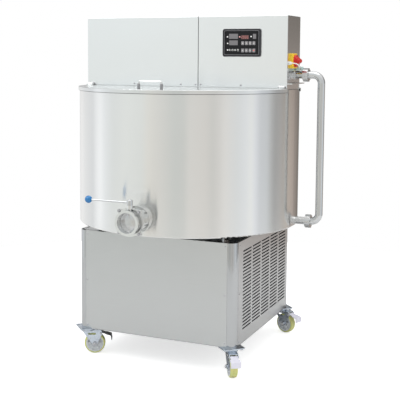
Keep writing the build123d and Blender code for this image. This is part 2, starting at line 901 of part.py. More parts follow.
with BuildPart() as pipe_unions:
    with BuildSketch(Plane.YZ.offset(box_side)):
        with Locations((pipe_y, pipe_high_z)):
            RectangleRounded(flange_width, flange_height, flange_corner)
    extrude(amount=flange_wall)
    with BuildSketch(Plane.XY.offset(shelf_z)):
        with Locations((box_side, pipe_y - flange_width / 2 + flange_corner)):
            Rectangle(shelf_reach, sensor_width, align=(Align.MIN, Align.MIN))
    extrude(amount=shelf_wall)
    with BuildSketch(Plane.YZ.offset(box_side)):
        with Locations((pipe_y, pipe_high_z)):
            Circle(pipe_diameter / 2)
    extrude(amount=union_high_x - box_side)
    with BuildLine(Plane.XZ.offset(-pipe_y)) as inlet_path:
        FilletPolyline(
            (mid_low, pipe_low_z), (inlet_x, pipe_low_z), (inlet_x, vessel_floor), radius=inlet_bend
        )
    with BuildSketch(
        Plane(origin=(mid_low, pipe_y, pipe_low_z), x_dir=(0, -1, 0), z_dir=(-1, 0, 0))
    ):
        Circle(pipe_diameter / 2)
        Circle(pipe_diameter / 2 - pipe_wall, mode=Mode.SUBTRACT)
    sweep(path=inlet_path.wires()[0])
    for nut_x, nut_z, bore_x in (
        (union_low_x, pipe_low_z, tank_radius + pipe_wall),
        (union_high_x, pipe_high_z, box_side + flange_wall),
    ):
        with BuildSketch(Plane.YZ.offset(nut_x)):
            with Locations((pipe_y, nut_z)):
                Circle(union_diameter / 2)
                with PolarLocations(union_diameter / 2, union_slots):
                    Rectangle(2 * union_slot_depth, union_slot_width, mode=Mode.SUBTRACT)
        extrude(amount=union_width)
        with BuildSketch(Plane.YZ.offset(bore_x)):
            with Locations((pipe_y, nut_z)):
                Circle(pipe_diameter / 2 - pipe_wall)
        extrude(amount=nut_x + union_width - bore_x, mode=Mode.SUBTRACT)
        with BuildSketch(Plane.YZ.offset(nut_x + union_width / 2)):
            with Locations((pipe_y, nut_z)):
                Circle(pipe_diameter / 2 + union_fit)
        extrude(amount=union_width / 2, mode=Mode.SUBTRACT)
save(pipe_unions, "pipe_unions")

# Position sensor on the shelf, with its lead to a gland on the box side
sensor_y = pipe_y - flange_width / 2 + flange_corner
sensor_x = box_side + flange_wall + panel_gap
sensor_z = shelf_z + shelf_wall

with BuildPart() as sensor_block:
    with BuildSketch(Plane.XY.offset(sensor_z)):
        with Locations((sensor_x, sensor_y)):
            Rectangle(sensor_length, sensor_width, align=(Align.MIN, Align.MIN))
    extrude(amount=sensor_height)
    fillet(sensor_block.edges().filter_by(Axis.Z), sensor_corner)
save(sensor_block, "sensor_block")

with BuildPart() as cable_gland:
    with BuildSketch(Plane.YZ.offset(box_side)):
        with Locations((gland_y, gland_z)):
            RegularPolygon(gland_diameter / 2, 6)
    extrude(amount=gland_collar)
    with BuildSketch(Plane.YZ.offset(box_side + gland_collar)):
        with Locations((gland_y, gland_z)):
            Circle(gland_neck / 2 + box_wall)
    extrude(amount=gland_length - gland_collar, taper=12)
save(cable_gland, "cable_gland")

cable_start = (box_side + gland_length, gland_y, gland_z)
cable_end = (sensor_x + sensor_length / 2, sensor_y, sensor_z + sensor_entry)
cable_route = [
    cable_start,
    (cable_start[0] + cable_reach, gland_y, gland_z),
    (cable_start[0] + cable_bow, gland_y + cable_dip, cable_end[2]),
    (cable_end[0], sensor_y - cable_dip, cable_end[2]),
    cable_end,
]


def bend_radii(route):
    """The largest arc that each corner's two runs allow."""
    radii = []
    for before, corner, after in zip(route, route[1:], route[2:]):
        first = Vector(corner) - Vector(before)
        second = Vector(after) - Vector(corner)
        turn = math.radians(first.get_angle(second))
        radii.append(0.45 * min(first.length, second.length) / math.tan(turn / 2))
    return radii


cable_radii = bend_radii(cable_route)
print("sensor lead radii", [round(radius, 1) for radius in cable_radii])

with BuildPart() as sensor_cable:
    with BuildLine() as cable_path:
        FilletPolyline(*cable_route, radius=cable_radii)
    with BuildSketch(Plane(origin=cable_start, z_dir=(1, 0, 0))):
        Circle(cable_diameter / 2)
    sweep(path=cable_path.wires()[0])
save(sensor_cable, "sensor_cable")
cable_length = cable_path.wires()[0].length
print("sensor lead length", round(cable_length, 1))

# Outlet valve: a butterfly valve in two bolted halves, the rear one ending in the vessel
body_front = valve_body_place + valve_body_width / 2
body_back = valve_body_place - valve_body_width / 2
flange_front = valve_flange_place + valve_flange_width / 2
flange_back = valve_flange_place - valve_flange_width / 2
neck_end = vessel_radius - 2 * vessel_knuckle
stem_top = valve_body_diameter / 2 + stem_neck_height


def valve_circle(radius, place):
    """A circle round the valve axis, at a distance in front of the tank axis."""
    with BuildSketch(Plane.XZ.offset(place)) as circle:
        with Locations((0, valve_z)):
            Circle(radius)
    return circle.sketch


def valve_half(name, keep):
    """One half of the valve, parted through the stem."""
    with BuildPart() as half_body:
        collar_back = tank_radius - 3 * vessel_wall
        extrude(
            valve_circle(valve_collar_diameter / 2, collar_back), amount=flange_back - collar_back
        )
        with BuildSketch(Plane.XY.offset(tank_bottom)):
            Circle(tank_radius)
        extrude(amount=tank_height, mode=Mode.SUBTRACT)
        for radius, front, back in (
            (valve_flange_diameter / 2, flange_front, flange_back),
            (neck_radius, valve_front, neck_end),
            (valve_lip_diameter / 2, valve_front, valve_front - valve_lip_width),
            (valve_body_diameter / 2, body_front, body_back),
        ):
            extrude(valve_circle(radius, back), amount=front - back)
        revolve(
            tub(vessel_inner, vessel_floor, vessel_knuckle - vessel_wall),
            axis=Axis.Z,
            mode=Mode.SUBTRACT,
        )
        with BuildSketch(Plane.XZ.offset(body_back)):
            with Locations((0, valve_z)):
                with PolarLocations(valve_bolt_circle / 2, 4, start_angle=45):
                    Circle(valve_lug_radius)
        extrude(amount=valve_body_width)
        with BuildSketch(Plane.XY.offset(valve_z)):
            with Locations((0, -valve_body_place)):
                Circle(stem_neck_diameter / 2)
        extrude(amount=stem_top)
        extrude(
            valve_circle(valve_bore / 2, neck_end), amount=valve_front - neck_end, mode=Mode.SUBTRACT
        )
        with BuildSketch(Plane.XY.offset(valve_z - valve_bore / 2 - stem_foot - weld_fit)):
            with Locations((0, -valve_body_place)):
                Circle(stem_diameter / 2 + stem_fit)
        extrude(amount=valve_bore + stem_top + stem_foot, mode=Mode.SUBTRACT)
        split(bisect_by=Plane.XZ.offset(valve_body_place), keep=keep)
    save(half_body, name)


valve_half("valve_body", Keep.TOP)
valve_half("valve_neck", Keep.BOTTOM)

# Valve disc on its stem, lever and ball knob
lever_low = valve_z + stem_top + handle_gap
lever_mid = lever_low + handle_hub_height / 2
rod_end = handle_reach - ball_diameter / 2 + ball_grip

with BuildPart() as valve_disc:
    disc_rim = valve_bore / 2 - disc_gap
    disc_crown = stem_diameter / 2 + disc_gap
    with BuildSketch(Plane.XY.offset(valve_z)):
        with BuildLine():
            Polyline(
                (0, disc_crown - valve_body_place),
                (0, -disc_crown - valve_body_place),
            )
            ThreePointArc(
                (0, -disc_crown - valve_body_place),
                (disc_rim / 2, -disc_arc - valve_body_place),
                (disc_rim, -disc_thickness / 2 - valve_body_place),
            )
            Line(
                (disc_rim, -disc_thickness / 2 - valve_body_place),
                (disc_rim, disc_thickness / 2 - valve_body_place),
            )
            ThreePointArc(
                (disc_rim, disc_thickness / 2 - valve_body_place),
                (disc_rim / 2, disc_arc - valve_body_place),
                (0, disc_crown - valve_body_place),
            )
        make_face()
    revolve(axis=Axis((0, 0, valve_z), (0, -1, 0)))
    with BuildSketch(Plane.XY.offset(valve_z - valve_bore / 2 - stem_foot)):
        with Locations((0, -valve_body_place)):
            Circle(stem_diameter / 2)
    extrude(amount=valve_bore / 2 + stem_foot + stem_top + handle_gap + handle_hub_height)
save(valve_disc, "valve_disc")

with BuildPart() as valve_handle:
    with BuildSketch(Plane.XY.offset(lever_low)):
        with Locations((0, -valve_body_place)):
            Circle(handle_hub_diameter / 2)
    extrude(amount=handle_hub_height)
    fillet(valve_handle.faces().sort_by(Axis.Z)[-1].edges(), handle_hub_height / 8)
    with BuildSketch(Plane.YZ.offset(-rod_end)):
        with Locations((-valve_body_place, lever_mid)):
            Circle(handle_rod / 2)
    extrude(amount=rod_end - stem_diameter / 2 - pipe_wall)
    with BuildSketch(Plane.XY.offset(lever_low)):
        with Locations((0, -valve_body_place)):
            Circle(stem_diameter / 2 + stem_fit)
    extrude(amount=handle_hub_height, mode=Mode.SUBTRACT)
save(valve_handle, "valve_handle")

with BuildPart() as handle_knob:
    with BuildSketch(Plane.XY.offset(lever_mid)) as ball_section:
        with Locations((-handle_reach, -valve_body_place)):
            Circle(ball_diameter / 2)
            Rectangle(
                ball_diameter, ball_diameter, align=(Align.CENTER, Align.MAX), mode=Mode.SUBTRACT
            )
    revolve(axis=Axis((-handle_reach, -valve_body_place, lever_mid), (1, 0, 0)))
    with BuildSketch(Plane.YZ.offset(-rod_end)):
        with Locations((-valve_body_place, lever_mid)):
            Circle(handle_rod / 2 + stem_fit)
    extrude(amount=ball_diameter, mode=Mode.SUBTRACT)
save(handle_knob, "handle_knob")

# Casters: fixed plates, then fork, hub, tread and brake pedal of each
corners = {
    "front_left": (-1, -1),
    "front_right": (1, -1),
    "rear_right": (1, 1),
    "rear_left": (-1, 1),
}
race_low = caster_height - caster_plate_wall - race_height
crown_top = race_low - race_gap
crown_low = crown_top - fork_wall
leg_inner = wheel_width / 2 + fork_gap
wheel_radius = wheel_diameter / 2

with BuildPart() as caster_plates:
    for side_x, side_y in corners.values():
        stand = Plane(
            origin=(side_x * caster_place, side_y * caster_place, 0), x_dir=(-side_y, side_x, 0)
        )
        with BuildSketch(stand.offset(caster_height - caster_plate_wall)):
            RectangleRounded(caster_plate_long, caster_plate_short, caster_plate_corner)
            with GridLocations(caster_bolt_long, caster_bolt_short, 2, 2):
                Circle(caster_bolt_hole / 2, mode=Mode.SUBTRACT)
        extrude(amount=caster_plate_wall)
        with BuildSketch(stand.offset(race_low)):
            Circle(race_diameter / 2)
        extrude(amount=race_height, taper=-4)
        with BuildSketch(stand.offset(race_low)):
            Circle(kingpin_diameter / 2 + kingpin_fit)
        extrude(amount=race_height + caster_plate_wall, mode=Mode.SUBTRACT)
save(caster_plates, "caster_plates")


def caster(name, side_x, side_y, angle):
    """The turning parts of one caster, at the angle that its wheel trails."""
    turn = math.radians(angle)
    along = (math.cos(turn), math.sin(turn), 0)
    across = (-math.sin(turn), math.cos(turn), 0)
    stand = Plane(origin=(side_x * caster_place, side_y * caster_place, 0), x_dir=along)
    upright = Plane(origin=stand.origin, x_dir=along, z_dir=Vector(across) * -1)
    axle_line = Axis(
        stand.origin + Vector(along) * caster_trail + Vector(0, 0, wheel_radius), across
    )

    with BuildPart() as fork:
        with BuildSketch(stand.offset(crown_low)):
            Circle(fork_crown_radius)
            with Locations((pedal_pivot_x, 0)):
                Rectangle(
                    pedal_pivot_x + fork_front,
                    2 * (leg_inner + fork_wall),
                    align=(Align.MAX, Align.CENTER),
                )
        extrude(amount=fork_wall)
        with BuildSketch(stand.offset(crown_low)):
            Circle(kingpin_diameter / 2)
        extrude(amount=caster_height - race_gap - crown_low)
        for start in (leg_inner, -leg_inner - fork_wall):
            with BuildSketch(upright.offset(start)):
                with Locations((caster_trail, wheel_radius)):
                    Circle(axle_boss_radius)
                with Locations((pedal_pivot_x, pedal_pivot_z)):
                    Circle(pedal_boss_radius)
                with Locations((-fork_front, crown_low)):
                    Rectangle(pedal_pivot_x + fork_front, fork_wall, align=(Align.MIN, Align.MIN))
                make_hull()
                with Locations((fork_slot_x, fork_slot_z)):
                    SlotOverall(fork_slot_length, fork_slot_width, mode=Mode.SUBTRACT)
            extrude(amount=fork_wall)
        nut_span = leg_inner + fork_wall
        with BuildSketch(upright.offset(-nut_span)):
            with Locations((caster_trail, wheel_radius)):
                Circle(axle_diameter / 2)
            with Locations((pedal_pivot_x, pedal_pivot_z)):
                Circle(pedal_pin / 2)
        extrude(amount=2 * nut_span)
        for start in (nut_span, -nut_span - axle_nut_height):
            with BuildSketch(upright.offset(start)):
                with Locations((caster_trail, wheel_radius)):
                    RegularPolygon(axle_nut / 2, 6)
            extrude(amount=axle_nut_height)
    save(fork, "fork_" + name)

    hub_outer = wheel_radius - tread_depth
    with BuildPart() as hub:
        with BuildSketch(upright.offset(-wheel_width / 2)):
            with Locations((caster_trail, wheel_radius)):
                Circle(hub_outer)
                Circle(hub_outer - hub_rim, mode=Mode.SUBTRACT)
        extrude(amount=wheel_width)
        with BuildSketch(upright.offset(-hub_web / 2)):
            with Locations((caster_trail, wheel_radius)):
                Circle(hub_outer - hub_rim / 2)
        extrude(amount=hub_web)
        rib_half = wheel_width / 2 - hub_rib_inset
        with BuildSketch(upright.offset(-rib_half)):
            with Locations((caster_trail, wheel_radius)):
                with PolarLocations((hub_outer - hub_rim / 2) / 2, hub_ribs):
                    Rectangle(hub_outer - hub_rim / 2, hub_rib_wall)
        extrude(amount=2 * rib_half)
        with BuildSketch(upright.offset(-hub_length / 2)):
            with Locations((caster_trail, wheel_radius)):
                Circle(hub_boss / 2)
        extrude(amount=hub_length)
        with BuildSketch(upright.offset(-hub_length / 2)):
            with Locations((caster_trail, wheel_radius)):
                Circle(axle_diameter / 2 + axle_fit)
        extrude(amount=hub_length, mode=Mode.SUBTRACT)
    save(hub, "hub_" + name)

    tread_plane = Plane(
        origin=axle_line.position, x_dir=axle_line.direction, z_dir=along
    )
    with BuildPart() as tread:
        with BuildSketch(tread_plane) as tread_section:
            with Locations((0, hub_outer)):
                Rectangle(wheel_width, tread_depth, align=(Align.CENTER, Align.MIN))
            fillet(tread_section.vertices().group_by(Axis.Y)[-1], tread_round)
        revolve(axis=axle_line)
    save(tread, "tread_" + name)

    plate_start = (pedal_pivot_x, pedal_pivot_z + pedal_eye / 2 - pedal_wall / 2)
    plate_bend = (pedal_pivot_x + pedal_reach, pedal_pivot_z + pedal_eye / 2 - pedal_drop)
    plate_end = (plate_bend[0] + pedal_wall, plate_bend[1] - pedal_lip)
    with BuildPart() as pedal:
        with BuildSketch(upright.offset(-pedal_root_width / 2)):
            with Locations((pedal_pivot_x, pedal_pivot_z)):
                Circle(pedal_eye / 2)
        extrude(amount=pedal_root_width)
        with BuildSketch(upright.offset(-pedal_root_width / 2)):
            with BuildLine():
                Line(plate_start, plate_bend)
            trace(line_width=pedal_wall)
        extrude(amount=pedal_root_width)
        knee = (Vector(plate_start) + Vector(plate_bend)) * 0.5
        with BuildSketch(upright.offset(-pedal_width / 2)):
            with BuildLine():
                Polyline((knee.X, knee.Y), plate_bend, plate_end)
            trace(line_width=pedal_wall)
        extrude(amount=pedal_width)
        with BuildSketch(upright.offset(-pedal_root_width / 2)):
            with Locations((pedal_pivot_x, pedal_pivot_z)):
                Circle(pedal_pin / 2 + pedal_fit)
        extrude(amount=pedal_root_width, mode=Mode.SUBTRACT)
    save(pedal, "pedal_" + name)


for corner_name, (corner_x, corner_y) in corners.items():
    caster(corner_name, corner_x, corner_y, trail_angles[corner_name])

# Condensing unit: compressor on its feet
plate_low = tray_top + compressor_foot

with BuildPart() as compressor:
    with BuildSketch(Plane.XY.offset(tray_top)):
        with Locations((compressor_x, compressor_y)):
            with GridLocations(
                compressor_plate_length - 4 * compressor_foot_radius,
                compressor_plate_width - 4 * compressor_foot_radius,
                2,
                2,
            ):
                Circle(compressor_foot_radius)
    extrude(amount=compressor_foot)
    with BuildSketch(Plane.XY.offset(plate_low)):
        with Locations((compressor_x, compressor_y)):
            RectangleRounded(
                compressor_plate_length, compressor_plate_width, compressor_foot_radius
            )
    extrude(amount=compressor_plate_wall)
    with BuildSketch(Plane.XY.offset(plate_low + compressor_plate_wall)):
        with Locations((compressor_x, compressor_y)):
            Circle(compressor_diameter / 2)
    extrude(amount=compressor_height)
    fillet(compressor.faces().sort_by(Axis.Z)[-1].edges(), compressor_dome)
save(compressor, "compressor")

# Condenser: framed fins and tubes, with a strap that carries the fan motor
core_back = condenser_x - condenser_depth / 2
core_low = tray_top
fan_center_z = core_low + condenser_height / 2
fan_front = core_back - fan_gap
motor_face = fan_front - fan_hub_length - fan_gap / 4
strap_back = motor_face - fan_motor_length
fin_span = condenser_width - 2 * condenser_wall

with BuildPart() as condenser:
    with BuildSketch(Plane.YZ.offset(core_back)):
        with Locations((0, fan_center_z)):
            Rectangle(condenser_width, condenser_height)
            Rectangle(fin_span, condenser_height - 2 * condenser_wall, mode=Mode.SUBTRACT)
            with GridLocations(fin_span / condenser_fins, 1, condenser_fins, 1):
                Rectangle(condenser_fin_wall, condenser_height - condenser_wall)
    extrude(amount=condenser_depth)
    with BuildSketch(Plane.XZ.offset(-condenser_width / 2 + condenser_wall / 2)):
        with Locations((condenser_x, fan_center_z)):
            with GridLocations(1, condenser_height / condenser_tubes, 1, condenser_tubes):
                Circle(condenser_tube / 2)
    extrude(amount=condenser_width - condenser_wall)
    with BuildSketch(Plane.XY.offset(fan_center_z - fan_strap_width / 2)):
        with Locations((strap_back, 0)):
            Rectangle(fan_strap_wall, condenser_width, align=(Align.MIN, Align.CENTER))
        with Locations(
            (strap_back, condenser_width / 2 - fan_strap_wall),
            (strap_back, -condenser_width / 2),
        ):
            Rectangle(core_back - strap_back, fan_strap_wall, align=(Align.MIN, Align.MIN))
    extrude(amount=fan_strap_width)
    with BuildSketch(Plane.YZ.offset(strap_back)):
        with Locations((0, fan_center_z)):
            Circle(fan_motor_diameter / 2)
    extrude(amount=fan_motor_length)
    with BuildSketch(Plane.YZ.offset(motor_face)):
        with Locations((0, fan_center_z)):
            Circle(fan_pin / 2)
    extrude(amount=fan_hub_length + fan_gap / 2)
save(condenser, "condenser")

# Condenser fan: hub and pitched blades
fan_middle = fan_front - fan_hub_length / 2

with BuildPart() as condenser_fan:
    with BuildSketch(Plane.YZ.offset(fan_front - fan_hub_length)):
        with Locations((0, fan_center_z)):
            Circle(fan_hub_diameter / 2)
    extrude(amount=fan_hub_length)
    for blade in range(fan_blades):
        swing = 2 * math.pi * blade / fan_blades
        outward = Vector(0, math.cos(swing), math.sin(swing))
        tangent = Vector(0, -math.sin(swing), math.cos(swing))
        pitch = math.radians(fan_blade_pitch)
        chord = tangent * math.cos(pitch) + Vector(1, 0, 0) * math.sin(pitch)
        blade_plane = Plane(
            origin=(fan_middle, 0, fan_center_z), x_dir=outward, z_dir=outward.cross(chord)
        )
        with BuildSketch(blade_plane.offset(-fan_blade_wall / 2)) as blade_section:
            with Locations((fan_hub_diameter / 2 - fan_blade_wall, 0)):
                Rectangle(
                    (fan_diameter - fan_hub_diameter) / 2,
                    fan_blade_width,
                    align=(Align.MIN, Align.CENTER),
                )
            fillet(blade_section.vertices().group_by(Axis.X)[-1], fan_blade_width / 4)
        extrude(amount=fan_blade_wall)
    with BuildSketch(Plane.YZ.offset(fan_front - fan_hub_length)):
        with Locations((0, fan_center_z)):
            Circle(fan_pin / 2 + fan_fit)
    extrude(amount=fan_hub_length, mode=Mode.SUBTRACT)
save(condenser_fan, "condenser_fan")
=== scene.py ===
"""Looks of the fermenter: finishes, fasteners, the marks on the control panel, the sensor lead,
the camera and the studio. Lengths are in metres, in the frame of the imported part."""

import math

import bmesh
import bpy
from mathutils import Matrix, Vector


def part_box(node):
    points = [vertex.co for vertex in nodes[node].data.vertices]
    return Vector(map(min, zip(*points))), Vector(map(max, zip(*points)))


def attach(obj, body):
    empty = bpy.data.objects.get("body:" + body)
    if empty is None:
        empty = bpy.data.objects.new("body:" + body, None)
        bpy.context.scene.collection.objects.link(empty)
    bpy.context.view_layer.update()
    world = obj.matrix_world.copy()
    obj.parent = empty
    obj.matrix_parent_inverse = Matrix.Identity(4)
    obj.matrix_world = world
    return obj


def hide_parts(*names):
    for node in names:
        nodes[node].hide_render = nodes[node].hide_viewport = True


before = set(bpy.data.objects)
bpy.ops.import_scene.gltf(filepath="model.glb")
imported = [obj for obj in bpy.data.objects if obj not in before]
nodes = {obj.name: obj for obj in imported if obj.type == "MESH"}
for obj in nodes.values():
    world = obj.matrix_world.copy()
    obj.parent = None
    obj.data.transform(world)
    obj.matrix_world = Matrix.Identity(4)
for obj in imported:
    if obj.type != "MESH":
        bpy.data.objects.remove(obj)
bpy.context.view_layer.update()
scene = bpy.context.scene
scene.view_settings.view_transform = "Standard"

# Camera, solved from the photograph: place, turns in degrees, focal length in its pixels
CAM_AT = Vector((1.7992, -4.1811, 1.4437))
YAW = math.radians(24.3253)
PITCH = math.radians(5.2918)
ROLL = math.radians(0.2794)
FOCAL_PX = 919.13
PHOTO_PX = 400.0
SENSOR_WIDTH_MM = 36.0
SHIFT = (0.0687, -0.15)

forward = Vector(
    (-math.sin(YAW) * math.cos(PITCH), math.cos(YAW) * math.cos(PITCH), -math.sin(PITCH))
)
level = Vector((math.cos(YAW), math.sin(YAW), 0.0))
upward = level.cross(forward)
right = level * math.cos(ROLL) + upward * math.sin(ROLL)
top = upward * math.cos(ROLL) - level * math.sin(ROLL)
camera_data = bpy.data.cameras.new("view_camera")
camera_data.sensor_width = SENSOR_WIDTH_MM
camera_data.lens = FOCAL_PX / PHOTO_PX * SENSOR_WIDTH_MM
camera_data.shift_x, camera_data.shift_y = SHIFT
camera = bpy.data.objects.new("view_camera", camera_data)
scene.collection.objects.link(camera)
turn = Matrix((right, top, -forward)).transposed().to_4x4()
camera.matrix_world = Matrix.Translation(CAM_AT) @ turn
scene.camera = camera

# Materials: ranges of noise that are spread over the full change of roughness, tone and wear
GRAIN_RANGE = (0.3, 0.7)
TONE_RANGE = (0.38, 0.62)
WEAR_RANGE = (0.60, 0.72)
WEAR_SCALE = 60.0
SMOOTHEST = 0.02


def tree_of(name):
    """A new material with its node tree and its surface shader."""
    material = bpy.data.materials.new(name)
    material.use_nodes = True
    tree = material.node_tree
    return material, tree, tree.nodes["Principled BSDF"]


def noise(tree, source, scale, detail, roughness=0.5):
    """Procedural noise over the given coordinates."""
    node = tree.nodes.new("ShaderNodeTexNoise")
    node.inputs["Scale"].default_value = scale
    node.inputs["Detail"].default_value = detail
    node.inputs["Roughness"].default_value = roughness
    tree.links.new(source, node.inputs["Vector"])
    return node.outputs["Fac"]


def spread(tree, source, limits, low=0.0, high=1.0):
    """Stretches a range of values to lie between low and high."""
    node = tree.nodes.new("ShaderNodeMapRange")
    node.inputs["From Min"].default_value = limits[0]
    node.inputs["From Max"].default_value = limits[1]
    node.inputs["To Min"].default_value = low
    node.inputs["To Max"].default_value = high
    tree.links.new(source, node.inputs["Value"])
    return node.outputs["Result"]


def mix_colours(tree, factor, first, second):
    """Mixes two colours, either of which may be the output of another node."""
    node = tree.nodes.new("ShaderNodeMix")
    node.data_type = "RGBA"
    for socket, colour in (("A", first), ("B", second)):
        if isinstance(colour, bpy.types.NodeSocket):
            tree.links.new(colour, node.inputs[socket])
        else:
            node.inputs[socket].default_value = (*colour, 1)
    tree.links.new(factor, node.inputs["Factor"])
    return node.outputs["Result"]


def average(tree, first, second):
    """Half of one value and half of the other."""
    half = tree.nodes.new("ShaderNodeMath")
    half.operation = "MULTIPLY"
    half.inputs[1].default_value = 0.5
    tree.links.new(second, half.inputs[0])
    both = tree.nodes.new("ShaderNodeMath")
    both.operation = "MULTIPLY_ADD"
    both.inputs[1].default_value = 0.5
    tree.links.new(first, both.inputs[0])
    tree.links.new(half.outputs["Value"], both.inputs[2])
    return both.outputs["Value"]


def finish(
    name,
    colour,
    metallic=0.0,
    rough=0.4,
    rough_spread=0.08,
    tone=0.05,
    grain=(8.0, 8.0, 8.0),
    blotch=3.0,
    bump=0.0,
    bump_size=0.0004,
    wear=0.0,
    wear_colour=(0.2, 0.2, 0.2),
    **sockets,
):
    """A procedural surface: grain in roughness and height, slow blotches in colour."""
    material, tree, shader = tree_of(name)
    add, link = tree.nodes.new, tree.links.new
    coords = add("ShaderNodeTexCoord").outputs["Object"]
    stretch = add("ShaderNodeMapping")
    stretch.inputs["Scale"].default_value = grain
    link(coords, stretch.inputs["Vector"])
    fine = noise(tree, stretch.outputs["Vector"], 1.0, 6.0, 0.6)
    slow = noise(tree, coords, blotch, 4.0)
    smoothest = max(SMOOTHEST, rough - rough_spread)
    roughest = min(1.0, rough + rough_spread)
    link(spread(tree, fine, GRAIN_RANGE, smoothest, roughest), shader.inputs["Roughness"])
    shade = [c * (1 - tone) for c in colour]
    light = [min(1.0, c * (1 + tone)) for c in colour]
    patches = spread(tree, average(tree, fine, slow), TONE_RANGE)
    surface = mix_colours(tree, patches, shade, light)
    if wear:
        marks = noise(tree, coords, WEAR_SCALE, 8.0, 0.75)
        worn = spread(tree, marks, WEAR_RANGE, 0.0, wear)
        surface = mix_colours(tree, worn, surface, wear_colour)
    link(surface, shader.inputs["Base Color"])
    if bump:
        relief = add("ShaderNodeBump")
        relief.inputs["Strength"].default_value = bump
        relief.inputs["Distance"].default_value = bump_size
        link(fine, relief.inputs["Height"])
        link(relief.outputs["Normal"], shader.inputs["Normal"])
    shader.inputs["Metallic"].default_value = metallic
    for socket, value in sockets.items():
        shader.inputs[socket.replace("_", " ")].default_value = value
    return material


def metal(name, colour, rough, grain, **extra):
    """A bare metal finish."""
    return finish(name, colour, metallic=1.0, rough=rough, grain=grain, **extra)


def brushed(material, amount):
    """Fine horizontal brushing: reflections stay crisp sideways and smear up and down."""
    tree = material.node_tree
    shader = tree.nodes["Principled BSDF"]
    shader.inputs["Anisotropic"].default_value = amount
    shader.inputs["Anisotropic Rotation"].default_value = 0.25
    tangent = tree.nodes.new("ShaderNodeTangent")
    tangent.direction_type = "RADIAL"
    tangent.axis = "Z"
    tree.links.new(tangent.outputs["Tangent"], shader.inputs["Tangent"])


def led(name, colour, glow, strength):
    """A small lit surface."""
    material = finish(name, colour, rough=0.3, grain=(150.0, 150.0, 150.0), tone=0.08)
    shader = material.node_tree.nodes["Principled BSDF"]
    shader.inputs["Emission Color"].default_value = (*glow, 1)
    shader.inputs["Emission Strength"].default_value = strength
    return material


